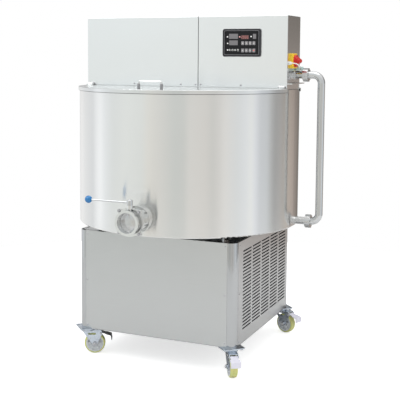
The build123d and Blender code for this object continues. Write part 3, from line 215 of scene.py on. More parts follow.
M = {
    "tank": metal("tank_steel", (0.80, 0.80, 0.79), 0.20, (3.0, 3.0, 1200.0), rough_spread=0.015,
                  tone=0.006, blotch=1.5),
    "vessel": metal("vessel_steel", (0.70, 0.70, 0.69), 0.24, (5.0, 5.0, 500.0), tone=0.03),
    "lid": metal("lid_steel", (0.76, 0.77, 0.77), 0.20, (4.0, 700.0, 4.0), tone=0.02, bump=0.02,
                 bump_size=0.00003, blotch=1.5),
    "cover": metal("cover_steel", (0.86, 0.875, 0.88), 0.24, (3.0, 3.0, 1200.0), tone=0.006,
                   rough_spread=0.015, blotch=1.5),
    "cabinet": metal("cabinet_steel", (0.56, 0.57, 0.57), 0.26, (3.0, 3.0, 1200.0), tone=0.008,
                     rough_spread=0.015, blotch=1.5),
    # Side panels: a lighter, rougher copy of the cabinet steel, a painted reflection of the floor on
    # them
    "side": metal("side_steel", (0.58, 0.585, 0.59), 0.30, (3.0, 3.0, 1200.0), tone=0.01,
                  rough_spread=0.02),
    "frame": metal("frame_steel", (0.50, 0.51, 0.52), 0.11, (900.0, 900.0, 4.0), tone=0.02,
                   rough_spread=0.03, bump=0.02, bump_size=0.00003),
    "pipe": metal("pipe_steel", (0.64, 0.65, 0.66), 0.09, (400.0, 400.0, 4.0), tone=0.03,
                  rough_spread=0.04, bump=0.03, bump_size=0.00003),
    "fitting": metal("fitting_steel", (0.62, 0.625, 0.63), 0.22, (60.0, 400.0, 60.0), tone=0.05,
                     rough_spread=0.06, bump=0.05, bump_size=0.00005),
    "valve": metal("valve_steel", (0.78, 0.785, 0.78), 0.12, (120.0, 120.0, 120.0), tone=0.05,
                   rough_spread=0.08, bump=0.08, bump_size=0.00006),
    "zinc": metal("zinc_plate", (0.62, 0.68, 0.76), 0.22, (60.0, 60.0, 60.0), tone=0.10,
                  rough_spread=0.10, blotch=30.0, bump=0.10, bump_size=0.00008, wear=0.2,
                  wear_colour=(0.35, 0.33, 0.30)),
    "bolt": metal("bolt_steel", (0.55, 0.55, 0.57), 0.24, (90.0, 90.0, 90.0), tone=0.10),
    "bolt_dark": metal("bolt_dark", (0.34, 0.34, 0.35), 0.30, (90.0, 90.0, 90.0), tone=0.10),
    "foam": finish("foam_yellow", (0.80, 0.72, 0.50), rough=0.9, grain=(60.0, 60.0, 60.0),
                   tone=0.12, bump=0.8, bump_size=0.002),
    "copper": metal("copper_tube", (0.75, 0.40, 0.26), 0.30, (40.0, 40.0, 40.0), tone=0.12),
    "silicone": finish("silicone_white", (0.78, 0.78, 0.75), rough=0.55,
                       grain=(50.0, 50.0, 50.0)),
    # Dark rubber of seals, also used for the painted shade in the box covers' joint and under the
    # tank covers' skirts
    "seal_and_shade_dark": finish("seal_and_shade_dark", (0.05, 0.05, 0.052), rough=0.6,
                        grain=(150.0, 150.0, 150.0), tone=0.1),
    "motor": finish("motor_enamel", (0.10, 0.115, 0.13), rough=0.42, grain=(60.0, 60.0, 60.0),
                    tone=0.10, bump=0.2, bump_size=0.0002),
    "bezel": finish("bezel_grey", (0.030, 0.030, 0.034), rough=0.36, grain=(220.0, 220.0, 220.0),
                    tone=0.10, bump=0.1, bump_size=0.0001, Specular_IOR_Level=0.25),
    "bezel_line": finish("bezel_line_grey", (0.34, 0.34, 0.36), rough=0.35,
                         grain=(90.0, 90.0, 90.0)),
    "face": finish("panel_black", (0.012, 0.012, 0.014), rough=0.22, grain=(120.0, 120.0, 120.0),
                   tone=0.15, rough_spread=0.05, Specular_IOR_Level=0.2),
    "key": finish("key_grey", (0.30, 0.285, 0.30), rough=0.45, grain=(200.0, 200.0, 200.0),
                  tone=0.10, bump=0.1, bump_size=0.00008),
    "legend": finish("legend_white", (0.80, 0.79, 0.78), rough=0.5, grain=(150.0, 150.0, 150.0)),
    "legend_grey": finish("legend_grey", (0.20, 0.19, 0.20), rough=0.5,
                          grain=(150.0, 150.0, 150.0), tone=0.10),
    "yellow": finish("switch_yellow", (0.90, 0.60, 0.035), rough=0.34, grain=(90.0, 90.0, 90.0),
                     tone=0.05, bump=0.08, bump_size=0.0001),
    "red": finish("switch_red", (0.56, 0.022, 0.020), rough=0.30, grain=(90.0, 90.0, 90.0),
                  tone=0.08, bump=0.08, bump_size=0.0001, Specular_IOR_Level=0.3),
    "teal": finish("sensor_teal", (0.50, 0.68, 0.66), rough=0.45, grain=(90.0, 90.0, 90.0)),
    "sheath": finish("white_sheath", (0.80, 0.80, 0.79), rough=0.42, grain=(140.0, 140.0, 140.0),
                     tone=0.03),
    "blue": finish("ball_blue", (0.010, 0.18, 0.46), rough=0.22, grain=(60.0, 60.0, 60.0),
                   tone=0.10, Coat_Weight=0.5, Coat_Roughness=0.1),
    "hub": finish("hub_nylon", (0.76, 0.78, 0.80), rough=0.42, grain=(70.0, 70.0, 70.0),
                  tone=0.05, bump=0.1, bump_size=0.0002),
    "hub_line": finish("hub_line", (0.40, 0.41, 0.44), rough=0.4, grain=(90.0, 90.0, 90.0)),
    "tread": finish("tread_urethane", (0.62, 0.63, 0.24), rough=0.34, grain=(60.0, 60.0, 60.0),
                    tone=0.10, bump=0.2, bump_size=0.0002, wear=0.25,
                    wear_colour=(0.30, 0.29, 0.20), Subsurface_Weight=0.15,
                    Subsurface_Scale=0.006),
    "pedal": finish("pedal_nylon", (0.70, 0.69, 0.78), rough=0.40, grain=(80.0, 80.0, 80.0),
                    tone=0.05, bump=0.1, bump_size=0.0002),
    "pedal_black": finish("pedal_black", (0.035, 0.035, 0.04), rough=0.42,
                          grain=(80.0, 80.0, 80.0), tone=0.15, bump=0.1, bump_size=0.0002),
    "black": finish("black_enamel", (0.022, 0.022, 0.024), rough=0.35, grain=(60.0, 60.0, 60.0),
                    tone=0.15, bump=0.15, bump_size=0.0002),
    "fins": metal("fin_aluminium", (0.60, 0.61, 0.62), 0.40, (60.0, 60.0, 60.0), tone=0.08),
    "digit": led("digit_red", (0.42, 0.16, 0.15), (1.0, 0.35, 0.30), 0.16),
    "digit_off": finish("digit_ground", (0.085, 0.045, 0.045), rough=0.3,
                        grain=(150.0, 150.0, 150.0)),
    "lamp_white": led("lamp_white", (0.75, 0.75, 0.75), (1.0, 0.98, 0.95), 0.35),
    "lamp_pink": led("lamp_pink", (0.70, 0.35, 0.35), (1.0, 0.5, 0.45), 0.3),
    "lamp_red": led("lamp_red", (0.62, 0.10, 0.09), (1.0, 0.15, 0.10), 0.25),
}
for key, amount in (("tank", 0.95), ("cover", 0.6), ("cabinet", 0.6), ("side", 0.6)):
    brushed(M[key], amount)

CORNERS = ("front_left", "front_right", "rear_right", "rear_left")
KEYS = range(1, 9)
NODE_FINISH = {
    "tank_jacket": "tank",
    "tank_vessel": "vessel",
    "insulation": "foam",
    "cooling_coil": "copper",
    "rear_cover": "lid",
    "front_lid": "lid",
    "lid_seal": "silicone",
    "bridge_beam": "lid",
    "lid_hinges": "fitting",
    "left_cover": "cover",
    "control_cover": "cover",
    "gear_motor": "motor",
    "anchor_stirrer": "vessel",
    "control_bezel": "bezel",
    "control_face": "face",
    "switch_plate": "yellow",
    "switch_knob": "red",
    "riser_pipe": "pipe",
    "pipe_unions": "fitting",
    "sensor_block": "teal",
    "cable_gland": "sheath",
    "sensor_cable": "sheath",
    "valve_body": "valve",
    "valve_neck": "valve",
    "valve_disc": "fitting",
    "valve_handle": "pipe",
    "handle_knob": "blue",
    "caster_plates": "zinc",
    "cabinet_frame": "frame",
    "front_panel": "cabinet",
    "rear_panel": "cabinet",
    "left_panel": "side",
    "right_panel": "side",
    "compressor": "black",
    "condenser": "fins",
    "condenser_fan": "black",
}
for number in KEYS:
    NODE_FINISH["key_%d" % number] = "key"
for corner in CORNERS:
    NODE_FINISH["fork_" + corner] = "zinc"
    NODE_FINISH["hub_" + corner] = "hub"
    NODE_FINISH["tread_" + corner] = "tread"
    NODE_FINISH["pedal_" + corner] = "pedal"
NODE_FINISH["pedal_front_left"] = "pedal_black"
for name, key in NODE_FINISH.items():
    data = nodes[name].data
    data.materials.clear()
    data.materials.append(M[key])

# Makers of pieces: directions, plain forms and the step from a mesh to a piece on a body
X = Vector((1, 0, 0))
Y = Vector((0, 1, 0))
Z = Vector((0, 0, 1))
SHARP_EDGE = math.radians(35)
WASHER = 0.0016


def make(name, bm, material, body):
    """Turns a bmesh in world metres into a piece that rides on a body."""
    bmesh.ops.recalc_face_normals(bm, faces=bm.faces)
    for face in bm.faces:
        face.smooth = True
    for edge in bm.edges:
        if len(edge.link_faces) == 2 and edge.calc_face_angle(0.0) > SHARP_EDGE:
            edge.smooth = False
    mesh = bpy.data.meshes.new(name)
    bm.to_mesh(mesh)
    bm.free()
    add_piece(name, mesh, material, body)


def add_piece(name, data, material, body):
    """Puts a mesh or a curve into the scene, on a body and in a material slot."""
    data.materials.append(M[material])
    piece = bpy.data.objects.new(name, data)
    scene.collection.objects.link(piece)
    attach(piece, body)


def lathe(bm, origin, axis, profile, segments=24):
    """Turns (radius, height) pairs round an axis and closes the ends where the radius is 0."""
    axis = Vector(axis).normalized()
    hint = Z if abs(axis.z) < 0.9 else X
    first = (hint - axis * hint.dot(axis)).normalized()
    second = axis.cross(first)
    origin = Vector(origin)
    rings = []
    for radius, height in profile:
        center = origin + axis * height
        if radius == 0.0:
            rings.append([bm.verts.new(center)])
            continue
        angles = [2 * math.pi * step / segments for step in range(segments)]
        across = [first * math.cos(angle) + second * math.sin(angle) for angle in angles]
        rings.append([bm.verts.new(center + way * radius) for way in across])
    for low, high in zip(rings, rings[1:]):
        for step in range(segments):
            after = (step + 1) % segments
            if len(low) == 1 and len(high) == 1:
                continue
            if len(low) == 1:
                bm.faces.new((low[0], high[after], high[step]))
            elif len(high) == 1:
                bm.faces.new((low[step], low[after], high[0]))
            else:
                bm.faces.new((low[step], low[after], high[after], high[step]))


def slab(bm, corners, thickness, normal):
    """A flat plate from a closed outline, thickened along its normal."""
    shift = Vector(normal).normalized() * thickness
    low = [bm.verts.new(Vector(corner)) for corner in corners]
    high = [bm.verts.new(Vector(corner) + shift) for corner in corners]
    bm.faces.new(low[::-1])
    bm.faces.new(high)
    for step in range(len(low)):
        after = (step + 1) % len(low)
        bm.faces.new((low[step], low[after], high[after], high[step]))


def rounded(center, first, second, width, height, radius, steps):
    """Outline of a rounded rectangle in the plane of two directions."""
    points = []
    for corner, (sx, sy) in enumerate(((1, 1), (-1, 1), (-1, -1), (1, -1))):
        cx = sx * (width / 2 - radius)
        cy = sy * (height / 2 - radius)
        for step in range(steps + 1):
            angle = math.pi / 2 * (corner + step / steps)
            along = first * (cx + radius * math.cos(angle))
            points.append(Vector(center) + along + second * (cy + radius * math.sin(angle)))
    return points


def button_head(bm, at, normal, radius, height):
    """A button-head screw with a recess."""
    profile = [
        (0.0, height * 0.45),
        (radius * 0.42, height * 0.45),
        (radius * 0.46, height),
        (radius * 0.72, height * 0.9),
        (radius * 0.93, height * 0.5),
        (radius, 0.0),
    ]
    lathe(bm, at, normal, profile, 18)


def hex_head(bm, at, normal, across, height, washer):
    """A hexagon bolt head or nut on a washer."""
    radius = across / math.sqrt(3)
    lathe(bm, at, normal, [(0.0, 0.0), (washer, 0.0), (washer, WASHER), (0.0, WASHER)])
    profile = [
        (0.0, WASHER),
        (radius, WASHER),
        (radius, WASHER + height * 0.8),
        (radius * 0.86, WASHER + height),
        (0.0, WASHER + height),
    ]
    lathe(bm, at, normal, profile, 6)


def dome(bm, at, normal, radius, height, steps=5):
    """A domed cap nut or plug."""
    profile = [(0.0, 0.0), (radius, 0.0)]
    for step in range(1, steps):
        angle = math.pi / 2 * step / steps
        profile.append((radius * math.cos(angle), height * math.sin(angle)))
    lathe(bm, at, normal, profile + [(0.0, height)], 18)


def ring(bm, at, axis, outer, inner, low, high, segments):
    """A flat ring between two radii."""
    profile = [(inner, low), (outer, low), (outer, high), (inner, high), (inner, low)]
    lathe(bm, at, axis, profile, segments)


def bead(name, points, radius, material, body, closed=False):
    """A round bead along points, as a curve."""
    curve = bpy.data.curves.new(name, "CURVE")
    curve.dimensions = "3D"
    curve.bevel_depth = radius
    curve.bevel_resolution = 3
    curve.use_fill_caps = True
    line = curve.splines.new("POLY")
    line.points.add(len(points) - 1)
    for spot, point in zip(line.points, points):
        spot.co = (*point, 1.0)
    line.use_cyclic_u = closed
    add_piece(name, curve, material, body)


def arc(radius, z, start, end, steps):
    """Points of a level arc round the tank's axis, in degrees from +X."""
    angles = [math.radians(start + (end - start) * step / steps) for step in range(steps + 1)]
    return [Vector((radius * math.cos(angle), radius * math.sin(angle), z)) for angle in angles]


def box_of(node):
    """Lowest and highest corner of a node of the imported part."""
    low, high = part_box(node)
    return Vector(low), Vector(high)


# Box: button heads along the foot of the covers and on their ends, front and back
left_low, left_high = box_of("left_cover")
control_low, control_high = box_of("control_cover")
COVER_SCREW = (0.0048, 0.0026)
COVER_SCREWS_X = (-0.495, -0.262, -0.01, 0.068, 0.095, 0.30, 0.492)
FOOT_ROW = left_low.z + 0.011
END_ROW = left_low.z + 0.043
bm = bmesh.new()
for x in COVER_SCREWS_X:
    button_head(bm, (x, left_low.y, FOOT_ROW), -Y, *COVER_SCREW)
    button_head(bm, (x, left_high.y, FOOT_ROW), Y, *COVER_SCREW)
for y in (-0.05, 0.082):
    button_head(bm, (left_low.x, y, END_ROW), -X, *COVER_SCREW)
button_head(bm, (control_high.x, -0.05, END_ROW), X, *COVER_SCREW)
make("cover_screws", bm, "bolt", "machine")

# Control panel: places on it are (across, up) from the middle of its face
face_low, face_high = box_of("control_face")
bezel_low, bezel_high = box_of("control_bezel")
face_middle = Vector(((face_low.x + face_high.x) / 2, face_low.y, (face_low.z + face_high.z) / 2))
PRINT = 0.0003
DISPLAY = (-0.0020, 0.0360, 0.0165, 0.0355)
BLOCKS = (
    (-0.0625, -0.0175, 0.0183, 0.0420),
    (0.0565, 0.0725, 0.0180, 0.0410),
    (-0.0615, -0.0185, -0.0115, 0.0110),
)
WHITE_LAMPS = ((-0.0700, 0.0278), (0.0475, 0.0290), (-0.0690, -0.0030), (-0.0695, -0.0340))
PINK_LAMP = (-0.0090, 0.0278)
DIGITS = ("abged", "abcdef", "abcdef", "abcdef")
DIGIT_FIRST = (0.0028, 0.0260)
DIGIT_PITCH = 0.0092
DIGIT_WIDTH = 0.0048
DIGIT_HEIGHT = 0.0120
DIGIT_STROKE = 0.0015
SIGNS_X = (-0.0590, -0.0450, -0.0310, -0.0170)
SIGNS_Z = -0.0342


def on_face(x, z, proud=0.0):
    """A point on the panel's face."""
    return face_middle + X * x + Z * z - Y * proud


def tile(bm, x0, x1, z0, z1, radius):
    """A rounded printed field."""
    center = on_face((x0 + x1) / 2, (z0 + z1) / 2)
    slab(bm, rounded(center, X, Z, x1 - x0, z1 - z0, radius, 3), PRINT, -Y)


def lamp(bm, x, z, radius):
    """A round lamp with a slightly raised face."""
    profile = [(radius, 0.0), (radius - 0.0002, 0.0005), (0.0, 0.0007)]
    lathe(bm, on_face(x, z), -Y, profile, 16)


def digit(bm, x, z, segments):
    """One seven-segment digit made of flat bars."""
    half_wide = DIGIT_WIDTH / 2
    half_high = DIGIT_HEIGHT / 2
    bars = {
        "a": (0, half_high, DIGIT_WIDTH, DIGIT_STROKE),
        "g": (0, 0, DIGIT_WIDTH, DIGIT_STROKE),
        "d": (0, -half_high, DIGIT_WIDTH, DIGIT_STROKE),
        "f": (-half_wide, half_high / 2, DIGIT_STROKE, half_high),
        "b": (half_wide, half_high / 2, DIGIT_STROKE, half_high),
        "e": (-half_wide, -half_high / 2, DIGIT_STROKE, half_high),
        "c": (half_wide, -half_high / 2, DIGIT_STROKE, half_high),
    }
    for key in segments:
        across, up, width, height = bars[key]
        center = on_face(x + across, z + up, PRINT)
        slab(bm, rounded(center, X, Z, width, height, min(width, height) * 0.3, 2), 0.0002, -Y)


def star_sign(bm, x):
    """Three crossed bars, each a hair in front of the last."""
    for spoke in range(3):
        angle = math.pi * spoke / 3
        first = X * math.cos(angle) + Z * math.sin(angle)
        second = Z * math.cos(angle) - X * math.sin(angle)
        center = on_face(x, SIGNS_Z, 0.00005 * spoke)
        slab(bm, rounded(center, first, second, 0.0105, 0.0016, 0.0006, 2), PRINT, -Y)


def clock_sign(bm, x):
    """A ring with one hand."""
    ring(bm, on_face(x, SIGNS_Z), -Y, 0.0050, 0.0036, 0.0, PRINT, 20)
    center = on_face(x, SIGNS_Z + 0.0014)
    slab(bm, rounded(center, X, Z, 0.0014, 0.0040, 0.0005, 2), PRINT, -Y)


bm = bmesh.new()
for block in BLOCKS:
    tile(bm, *block, 0.0012)
make("panel_blocks", bm, "legend_grey", "machine")
bm = bmesh.new()
tile(bm, *DISPLAY, 0.001)
make("display_ground", bm, "digit_off", "machine")
bm = bmesh.new()
for place, segments in enumerate(DIGITS):
    digit(bm, DIGIT_FIRST[0] + place * DIGIT_PITCH, DIGIT_FIRST[1], segments)
make("display_digits", bm, "digit", "machine")
bm = bmesh.new()
for place in WHITE_LAMPS:
    lamp(bm, *place, 0.0032)
make("panel_lamps", bm, "lamp_white", "machine")
bm = bmesh.new()
lamp(bm, *PINK_LAMP, 0.0034)
make("panel_lamp_pink", bm, "lamp_pink", "machine")
bm = bmesh.new()
for sign, x in zip((star_sign, clock_sign, star_sign, clock_sign), SIGNS_X):
    sign(bm, x)
make("panel_signs", bm, "legend", "machine")

# Legends on the keys, which ride with them: arrows up and down, rings, and one red lamp
ARROW = (0.003, 0.002, 0.003)
ARROWS = {1: 1, 5: 1, 2: -1, 6: -1}
LAMP_KEY = 8
for number in KEYS:
    key_low, key_high = box_of("key_%d" % number)
    at = Vector(((key_low.x + key_high.x) / 2, key_low.y, (key_low.z + key_high.z) / 2))
    bm = bmesh.new()
    if number == LAMP_KEY:
        lathe(bm, at, -Y, [(0.0030, 0.0), (0.0029, PRINT), (0.0, PRINT + 0.0001)], 16)
    elif number in ARROWS:
        half_wide, foot, tip = ARROW
        up = Z * ARROWS[number]
        slab(bm, [at - X * half_wide - up * foot, at + X * half_wide - up * foot, at + up * tip],
             PRINT, -Y)
    else:
        ring(bm, at, -Y, 0.0031, 0.0021, 0.0, PRINT, 18)
    material, slot = ("lamp_red", "switch_red") if number == LAMP_KEY else ("legend", "cable_white")
    make("key_sign_%d" % number, bm, material, "key_%d_cap" % number)

# Outlet valve: bolts and nuts, the thin seal between the halves up to the stem, the lever's cap
body_low, body_high = box_of("valve_body")
lever_top = box_of("valve_handle")[1].z
VALVE = Vector((0.0, body_high.y, body_low.z + body_high.x))
BOLT_CIRCLE = 0.068
EAR_FACE = 0.0085
SEAL_RADIUS = 0.0627
SEAL_REACH = 80
SEAL_STEPS = 40
bm = bmesh.new()
for degrees in (45, 135, 225, 315):
    angle = math.radians(degrees)
    bolt = VALVE + (X * math.cos(angle) + Z * math.sin(angle)) * BOLT_CIRCLE
    for way in (-Y, Y):
        hex_head(bm, bolt + way * EAR_FACE, way, 0.0105, 0.0065, 0.0078)
make("valve_bolts", bm, "bolt", "machine")
for side, name in ((1, "right"), (-1, "left")):
    turns = [SEAL_REACH * (2 * step / SEAL_STEPS - 1) for step in range(SEAL_STEPS + 1)]
    angles = [math.radians(turn) for turn in turns]
    seal = [VALVE + (X * side * math.cos(a) + Z * math.sin(a)) * SEAL_RADIUS for a in angles]
    bead("valve_seal_" + name, seal, 0.0011, "seal_and_shade_dark", "machine")
bm = bmesh.new()
dome(bm, (VALVE.x, VALVE.y, lever_top - 0.0001), Z, 0.0058, 0.0030)
make("lever_cap", bm, "bolt", "outlet_lever")

# Casters: plate bolts, domed axle nuts, pedal pins and the moulded rings of the hubs
CASTER_PLACE = 0.371
PLATE_FOOT = 0.126
PLATE_BOLTS = (0.040, 0.033)
TRAIL = 0.036
AXLE_HEIGHT = 0.050
AXLE_NUT = 0.0302
FORK_FACE = 0.0222
PIN_TRAIL = 0.065
PIN_HEIGHT = 0.100
SWIVELS = {
    "front_left": (-1, -1, 25.0),
    "front_right": (1, -1, -57.0),
    "rear_right": (1, 1, -20.0),
    "rear_left": (-1, 1, 160.0),
}
for corner in CORNERS:
    sx, sy, turned = SWIVELS[corner]
    center = Vector((sx * CASTER_PLACE, sy * CASTER_PLACE, 0))
    long_way = Vector((-sy, sx, 0)).normalized()
    short_way = Vector((sx, sy, 0)).normalized()
    bm = bmesh.new()
    for along in (-PLATE_BOLTS[0], PLATE_BOLTS[0]):
        for beside in (-PLATE_BOLTS[1], PLATE_BOLTS[1]):
            at = center + long_way * along + short_way * beside + Z * PLATE_FOOT
            hex_head(bm, at, -Z, 0.013, 0.0055, 0.0085)
    make("plate_bolts_" + corner, bm, "bolt", "machine")
    angle = math.radians(turned)
    trail = X * math.cos(angle) + Y * math.sin(angle)
    across = Y * math.cos(angle) - X * math.sin(angle)
    axle = center + trail * TRAIL + Z * AXLE_HEIGHT
    pin = center + trail * PIN_TRAIL + Z * PIN_HEIGHT
    bm = bmesh.new()
    for way in (-across, across):
        dome(bm, axle + way * AXLE_NUT, way, 0.0078, 0.0050)
        dome(bm, pin + way * FORK_FACE, way, 0.0052, 0.0028)
        washer = [(0.0, 0.0), (0.0108, 0.0), (0.0108, 0.0013), (0.0, 0.0013)]
        lathe(bm, axle + way * FORK_FACE, way, washer)
    make("axle_caps_" + corner, bm, "bolt", "swivel_" + corner)
    bm = bmesh.new()
    for way in (-across, across):
        ring(bm, axle, way, 0.0400, 0.0385, 0.0171, 0.0175, 48)
        ring(bm, axle, way, 0.0165, 0.0142, 0.0150, 0.0176, 36)
    make("hub_rings_" + corner, bm, "hub_line", "wheel_" + corner)

# Box: dark joint between the two covers, partly painted shade of the gap between them, which stops
# short of their ends
JOINT_SHADE_WIDTH = 0.0034
JOINT_SHADE_HEIGHT = 0.334
joint_shade_at = Vector(((left_high.x + control_low.x) / 2, left_low.y + 0.0002, 1.4600))
bm = bmesh.new()
slab(bm, rounded(joint_shade_at, X, Z, JOINT_SHADE_WIDTH, JOINT_SHADE_HEIGHT, 0.0008, 3), 0.0003, -Y)
make("cover_joint_shade", bm, "seal_and_shade_dark", "machine")

# Control panel: a thin line on the bezel and one where it meets the cover
for name, y, size, radius, material, slot in (
    ("bezel_line", bezel_low.y, (0.1725, 0.1125), 0.0006, "bezel_line", "bezel_plastic"),
    ("bezel_edge", bezel_high.y - 0.0002, (0.1905, 0.1305), 0.0008, "bolt", "satin_steel"),
):
    center = Vector((face_middle.x, y, face_middle.z))
    outline = rounded(center, X, Z, *size, 0.006, 6)
    bead(name, outline, radius, material, "machine", closed=True)

# Tank covers: dark strips of painted shadow under their skirts
lid_foot = box_of("front_lid")[0].z
STRIP_RADIUS = 0.5425
STRIP_THICK = 0.0013
strip_z = lid_foot - 0.0008
front_arc = arc(STRIP_RADIUS, strip_z, 190, 350, 120)
rear_arc = arc(STRIP_RADIUS, strip_z, 13, 167, 120)
bead("lid_skirt_shadow_strip", front_arc, STRIP_THICK, "seal_and_shade_dark", "lid")
bead("cover_skirt_shadow_strip", rear_arc, STRIP_THICK, "seal_and_shade_dark", "machine")

# Main switch: its keyhole; sensor block: the two recess screws
plate_face = box_of("switch_plate")[1].x
sensor_low, sensor_high = box_of("sensor_block")
keyhole_at = (plate_face, 0.022, 1.4445)
top_screw_at = (0.5465, 0.0520, sensor_high.z)
front_screw_at = (0.5545, sensor_low.y, 1.3800)
keyhole = [(0.0, 0.0), (0.0034, 0.0), (0.0031, 0.0004), (0.0, 0.0005)]
top_screw = [(0.0, 0.0), (0.0052, 0.0), (0.0048, 0.0016), (0.0, 0.0018)]
front_screw = [(0.0, 0.0), (0.0030, 0.0), (0.0027, 0.0008), (0.0, 0.0010)]
bm = bmesh.new()
lathe(bm, keyhole_at, X, keyhole, 20)
make("switch_keyhole", bm, "seal_and_shade_dark", "machine")
bm = bmesh.new()
lathe(bm, top_screw_at, Z, top_screw, 20)
lathe(bm, front_screw_at, -Y, front_screw, 18)
make("sensor_screws", bm, "bolt_dark", "machine")

# Lid handle: a collar and a sleeve at the foot of each leg
HANDLE_LEG_X = 0.057
HANDLE_Y = -0.450
LID_TOP = 1.2885
SLEEVE = [
    (0.0, 0.0),
    (0.0085, 0.0),
    (0.0080, 0.0022),
    (0.0066, 0.0030),
    (0.0066, 0.0240),
    (0.0058, 0.0255),
    (0.0, 0.0255),
]
bm = bmesh.new()
for x in (-HANDLE_LEG_X, HANDLE_LEG_X):
    lathe(bm, (x, HANDLE_Y, LID_TOP), Z, SLEEVE)
make("handle_collars", bm, "bolt_dark", "lid")

# Cabinet: panel screws on the corner posts
CABINET_FACE = box_of("cabinet_frame")[1].x
POST = 0.352
POST_SCREWS_Z = (0.150, 0.370, 0.592)
bm = bmesh.new()
for out, across in ((X, Y), (-X, Y), (Y, X), (-Y, X)):
    for side in (-POST, POST):
        for z in POST_SCREWS_Z:
            button_head(bm, out * CABINET_FACE + across * side + Z * z, out, 0.0042, 0.0020)
make("cabinet_screws", bm, "bolt", "machine")

# Sensor lead: from the gland round to the sensor block, seen from end to end
route = (
    (0.5400, -0.0580, 1.4080),
    (0.5660, -0.0580, 1.4080),
    (0.5730, -0.0300, 1.3855),
    (0.5465, 0.0120, 1.3855),
    (0.5465, 0.0400, 1.3855),
)
lead = bpy.data.curves.new("sensor_lead", "CURVE")
lead.dimensions = "3D"
lead.bevel_depth = 0.0025
lead.bevel_resolution = 4
lead.resolution_u = 24
lead.use_fill_caps = True
line = lead.splines.new("NURBS")
line.points.add(len(route) - 1)
for spot, point in zip(line.points, route):
    spot.co = (*point, 1.0)
line.order_u = 3
line.use_endpoint_u = True
lead.materials.append(M["sheath"])
sensor_lead = bpy.data.objects.new("sensor_lead", lead)
scene.collection.objects.link(sensor_lead)
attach(sensor_lead, "machine")
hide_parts("sensor_cable")

# Floor: a pale disc that the camera sees as white, with the object's shadow on it
FLOOR_RADIUS = 2.6
FLOOR_DROP = 0.0005
FLOOR_GLOW = 0.62
bm = bmesh.new()
lathe(bm, (0, 0, -FLOOR_DROP), Z, [(0.0, 0.0), (FLOOR_RADIUS, 0.0)], 96)
mesh = bpy.data.meshes.new("floor_disc")
bm.to_mesh(mesh)
bm.free()
floor_material, floor_tree, floor_shader = tree_of("floor_white")
floor_noise = floor_tree.nodes.new("ShaderNodeTexNoise")
floor_noise.inputs["Scale"].default_value = 1.2
patches = mix_colours(floor_tree, floor_noise.outputs["Fac"], (0.74, 0.74, 0.74), (0.76, 0.76, 0.76))
floor_tree.links.new(patches, floor_shader.inputs["Base Color"])
floor_shader.inputs["Roughness"].default_value = 0.9
floor_rays = floor_tree.nodes.new("ShaderNodeLightPath")
floor_glow = floor_tree.nodes.new("ShaderNodeMath")
floor_glow.operation = "MULTIPLY"
floor_glow.inputs[1].default_value = FLOOR_GLOW
floor_tree.links.new(floor_rays.outputs["Is Camera Ray"], floor_glow.inputs[0])
floor_shader.inputs["Emission Color"].default_value = (1, 1, 1, 1)
floor_tree.links.new(floor_glow.outputs["Value"], floor_shader.inputs["Emission Strength"])
mesh.materials.append(floor_material)
floor = bpy.data.objects.new("floor_disc", mesh)
scene.collection.objects.link(floor)

# Studio round the object: soft walls of different brightness by compass direction, given from
# the viewpoint's side anticlockwise as (degrees, red, green, blue), low down and higher up
WALL_SCALE = 0.75
HORIZON = (-0.035, 0.02)
ROOF_EDGE = (0.25, 0.85)
ROOF = (0.80, 0.80, 0.79)
WALLS = (
    (-180, 0.62, 0.62, 0.62),
    (-150, 0.98, 0.98, 0.98),
    (-118, 0.84, 0.86, 0.88),
    (-112, 1.02, 1.04, 1.06),
    (-104, 1.16, 1.18, 1.20),
    (-97, 0.98, 1.01, 1.03),
    (-85, 0.86, 0.89, 0.88),
    (-68, 0.88, 0.90, 0.87),
    (-49, 0.80, 0.82, 0.79),
    (-42, 0.85, 0.82, 0.75),
    (-31, 0.77, 0.75, 0.70),
    (-14, 0.62, 0.64, 0.61),
    (-5, 0.64, 0.65, 0.62),
    (0, 0.78, 0.76, 0.72),
    (16, 0.76, 0.73, 0.69),
    (24, 0.66, 0.65, 0.62),
    (30, 0.74, 0.72, 0.69),
    (36, 0.86, 0.84, 0.81),
    (50, 0.80, 0.83, 0.84),
    (60, 0.88, 0.91, 0.94),
    (66, 1.00, 1.02, 1.00),
    (71, 0.91, 0.94, 1.00),
    (77, 0.70, 0.73, 0.77),
    (87, 0.70, 0.73, 0.76),
    (93, 0.52, 0.53, 0.53),
    (99, 0.41, 0.41, 0.41),
    (107, 0.50, 0.49, 0.48),
    (124, 0.57, 0.50, 0.44),
    (132, 0.54, 0.46, 0.41),
    (144, 0.36, 0.31, 0.28),
    (160, 0.20, 0.18, 0.16),
    (180, 0.40, 0.40, 0.40),
)
HIGH_WALLS = (
    (-180, 0.55, 0.55, 0.55),
    (-110, 0.90, 0.92, 0.94),
    (-60, 0.82, 0.87, 0.88),
    (-30, 0.84, 0.87, 0.87),
    (20, 0.78, 0.78, 0.76),
    (60, 0.84, 0.86, 0.88),
    (95, 0.50, 0.50, 0.50),
    (115, 0.20, 0.185, 0.17),
    (150, 0.14, 0.125, 0.11),
    (180, 0.30, 0.30, 0.30),
)
LAMPS = (
    ("key_softbox", (-2.6, -3.2, 4.4), (0, 0, 0.9), (2.6, 2.0), 50.0),
    ("top_softbox", (0.4, -0.2, 5.0), (0, 0, 0.8), (3.4, 3.4), 45.0),
    ("side_softbox", (3.6, -0.6, 2.2), (0.4, 0, 1.2), (1.8, 1.8), 30.0),
)
UNMIRRORED = ("side_softbox",)
world = bpy.data.worlds.new("studio")
scene.world = world
world.use_nodes = True
tree = world.node_tree
tree.nodes.clear()
add, link = tree.nodes.new, tree.links.new


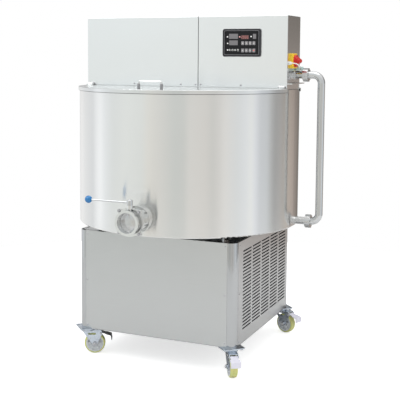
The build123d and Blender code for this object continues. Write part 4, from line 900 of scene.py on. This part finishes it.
def wall_ramp(compass, stops_wanted):
    """Wall colour by compass direction."""
    ramp = add("ShaderNodeValToRGB")
    stops = ramp.color_ramp.elements
    stops.remove(stops[-1])
    for number, (degrees, *colour) in enumerate(stops_wanted):
        position = (degrees + 180) / 360
        stop = stops[0] if number == 0 else stops.new(position)
        stop.position = position
        stop.color = (*[value * WALL_SCALE for value in colour], 1)
    link(compass, ramp.inputs["Fac"])
    return ramp.outputs["Color"]


def rising(height, limits):
    """Goes smoothly from 0 to 1 between two heights of the direction looked in."""
    node = add("ShaderNodeMapRange")
    node.interpolation_type = "SMOOTHSTEP"
    node.inputs["From Min"].default_value = limits[0]
    node.inputs["From Max"].default_value = limits[1]
    link(height, node.inputs["Value"])
    return node.outputs["Result"]


coords = add("ShaderNodeTexCoord")
spin = add("ShaderNodeVectorRotate")
spin.rotation_type = "Z_AXIS"
spin.inputs["Angle"].default_value = -math.atan2(CAM_AT.y, CAM_AT.x)
link(coords.outputs["Generated"], spin.inputs["Vector"])
split = add("ShaderNodeSeparateXYZ")
link(spin.outputs["Vector"], split.inputs["Vector"])
angle_round = add("ShaderNodeMath")
angle_round.operation = "ARCTAN2"
link(split.outputs["Y"], angle_round.inputs[0])
link(split.outputs["X"], angle_round.inputs[1])
compass = add("ShaderNodeMath")
compass.operation = "MULTIPLY_ADD"
compass.inputs[1].default_value = 1 / (2 * math.pi)
compass.inputs[2].default_value = 0.5
link(angle_round.outputs["Value"], compass.inputs[0])
low_walls = wall_ramp(compass.outputs["Value"], WALLS)
high_walls = wall_ramp(compass.outputs["Value"], HIGH_WALLS)
walls = mix_colours(tree, rising(split.outputs["Z"], HORIZON), low_walls, high_walls)
room = mix_colours(tree, rising(split.outputs["Z"], ROOF_EDGE), walls, ROOF)
studio = add("ShaderNodeBackground")
studio.inputs["Strength"].default_value = 1.0 / WALL_SCALE
link(room, studio.inputs["Color"])
white = add("ShaderNodeBackground")
white.inputs["Color"].default_value = (1, 1, 1, 1)
rays = add("ShaderNodeLightPath")
choose = add("ShaderNodeMixShader")
link(rays.outputs["Is Camera Ray"], choose.inputs["Fac"])
link(studio.outputs["Background"], choose.inputs[1])
link(white.outputs["Background"], choose.inputs[2])
out = add("ShaderNodeOutputWorld")
link(choose.outputs["Shader"], out.inputs["Surface"])

# Soft lamps, of which the side one only fills and isn't mirrored in the steel
for name, at, target, size, power in LAMPS:
    softbox = bpy.data.lights.new(name, "AREA")
    softbox.shape = "RECTANGLE"
    softbox.size, softbox.size_y = size
    softbox.energy = power
    holder = bpy.data.objects.new(name, softbox)
    holder.location = at
    holder.rotation_euler = (Vector(target) - Vector(at)).to_track_quat("-Z", "Y").to_euler()
    holder.visible_glossy = name not in UNMIRRORED
    scene.collection.objects.link(holder)
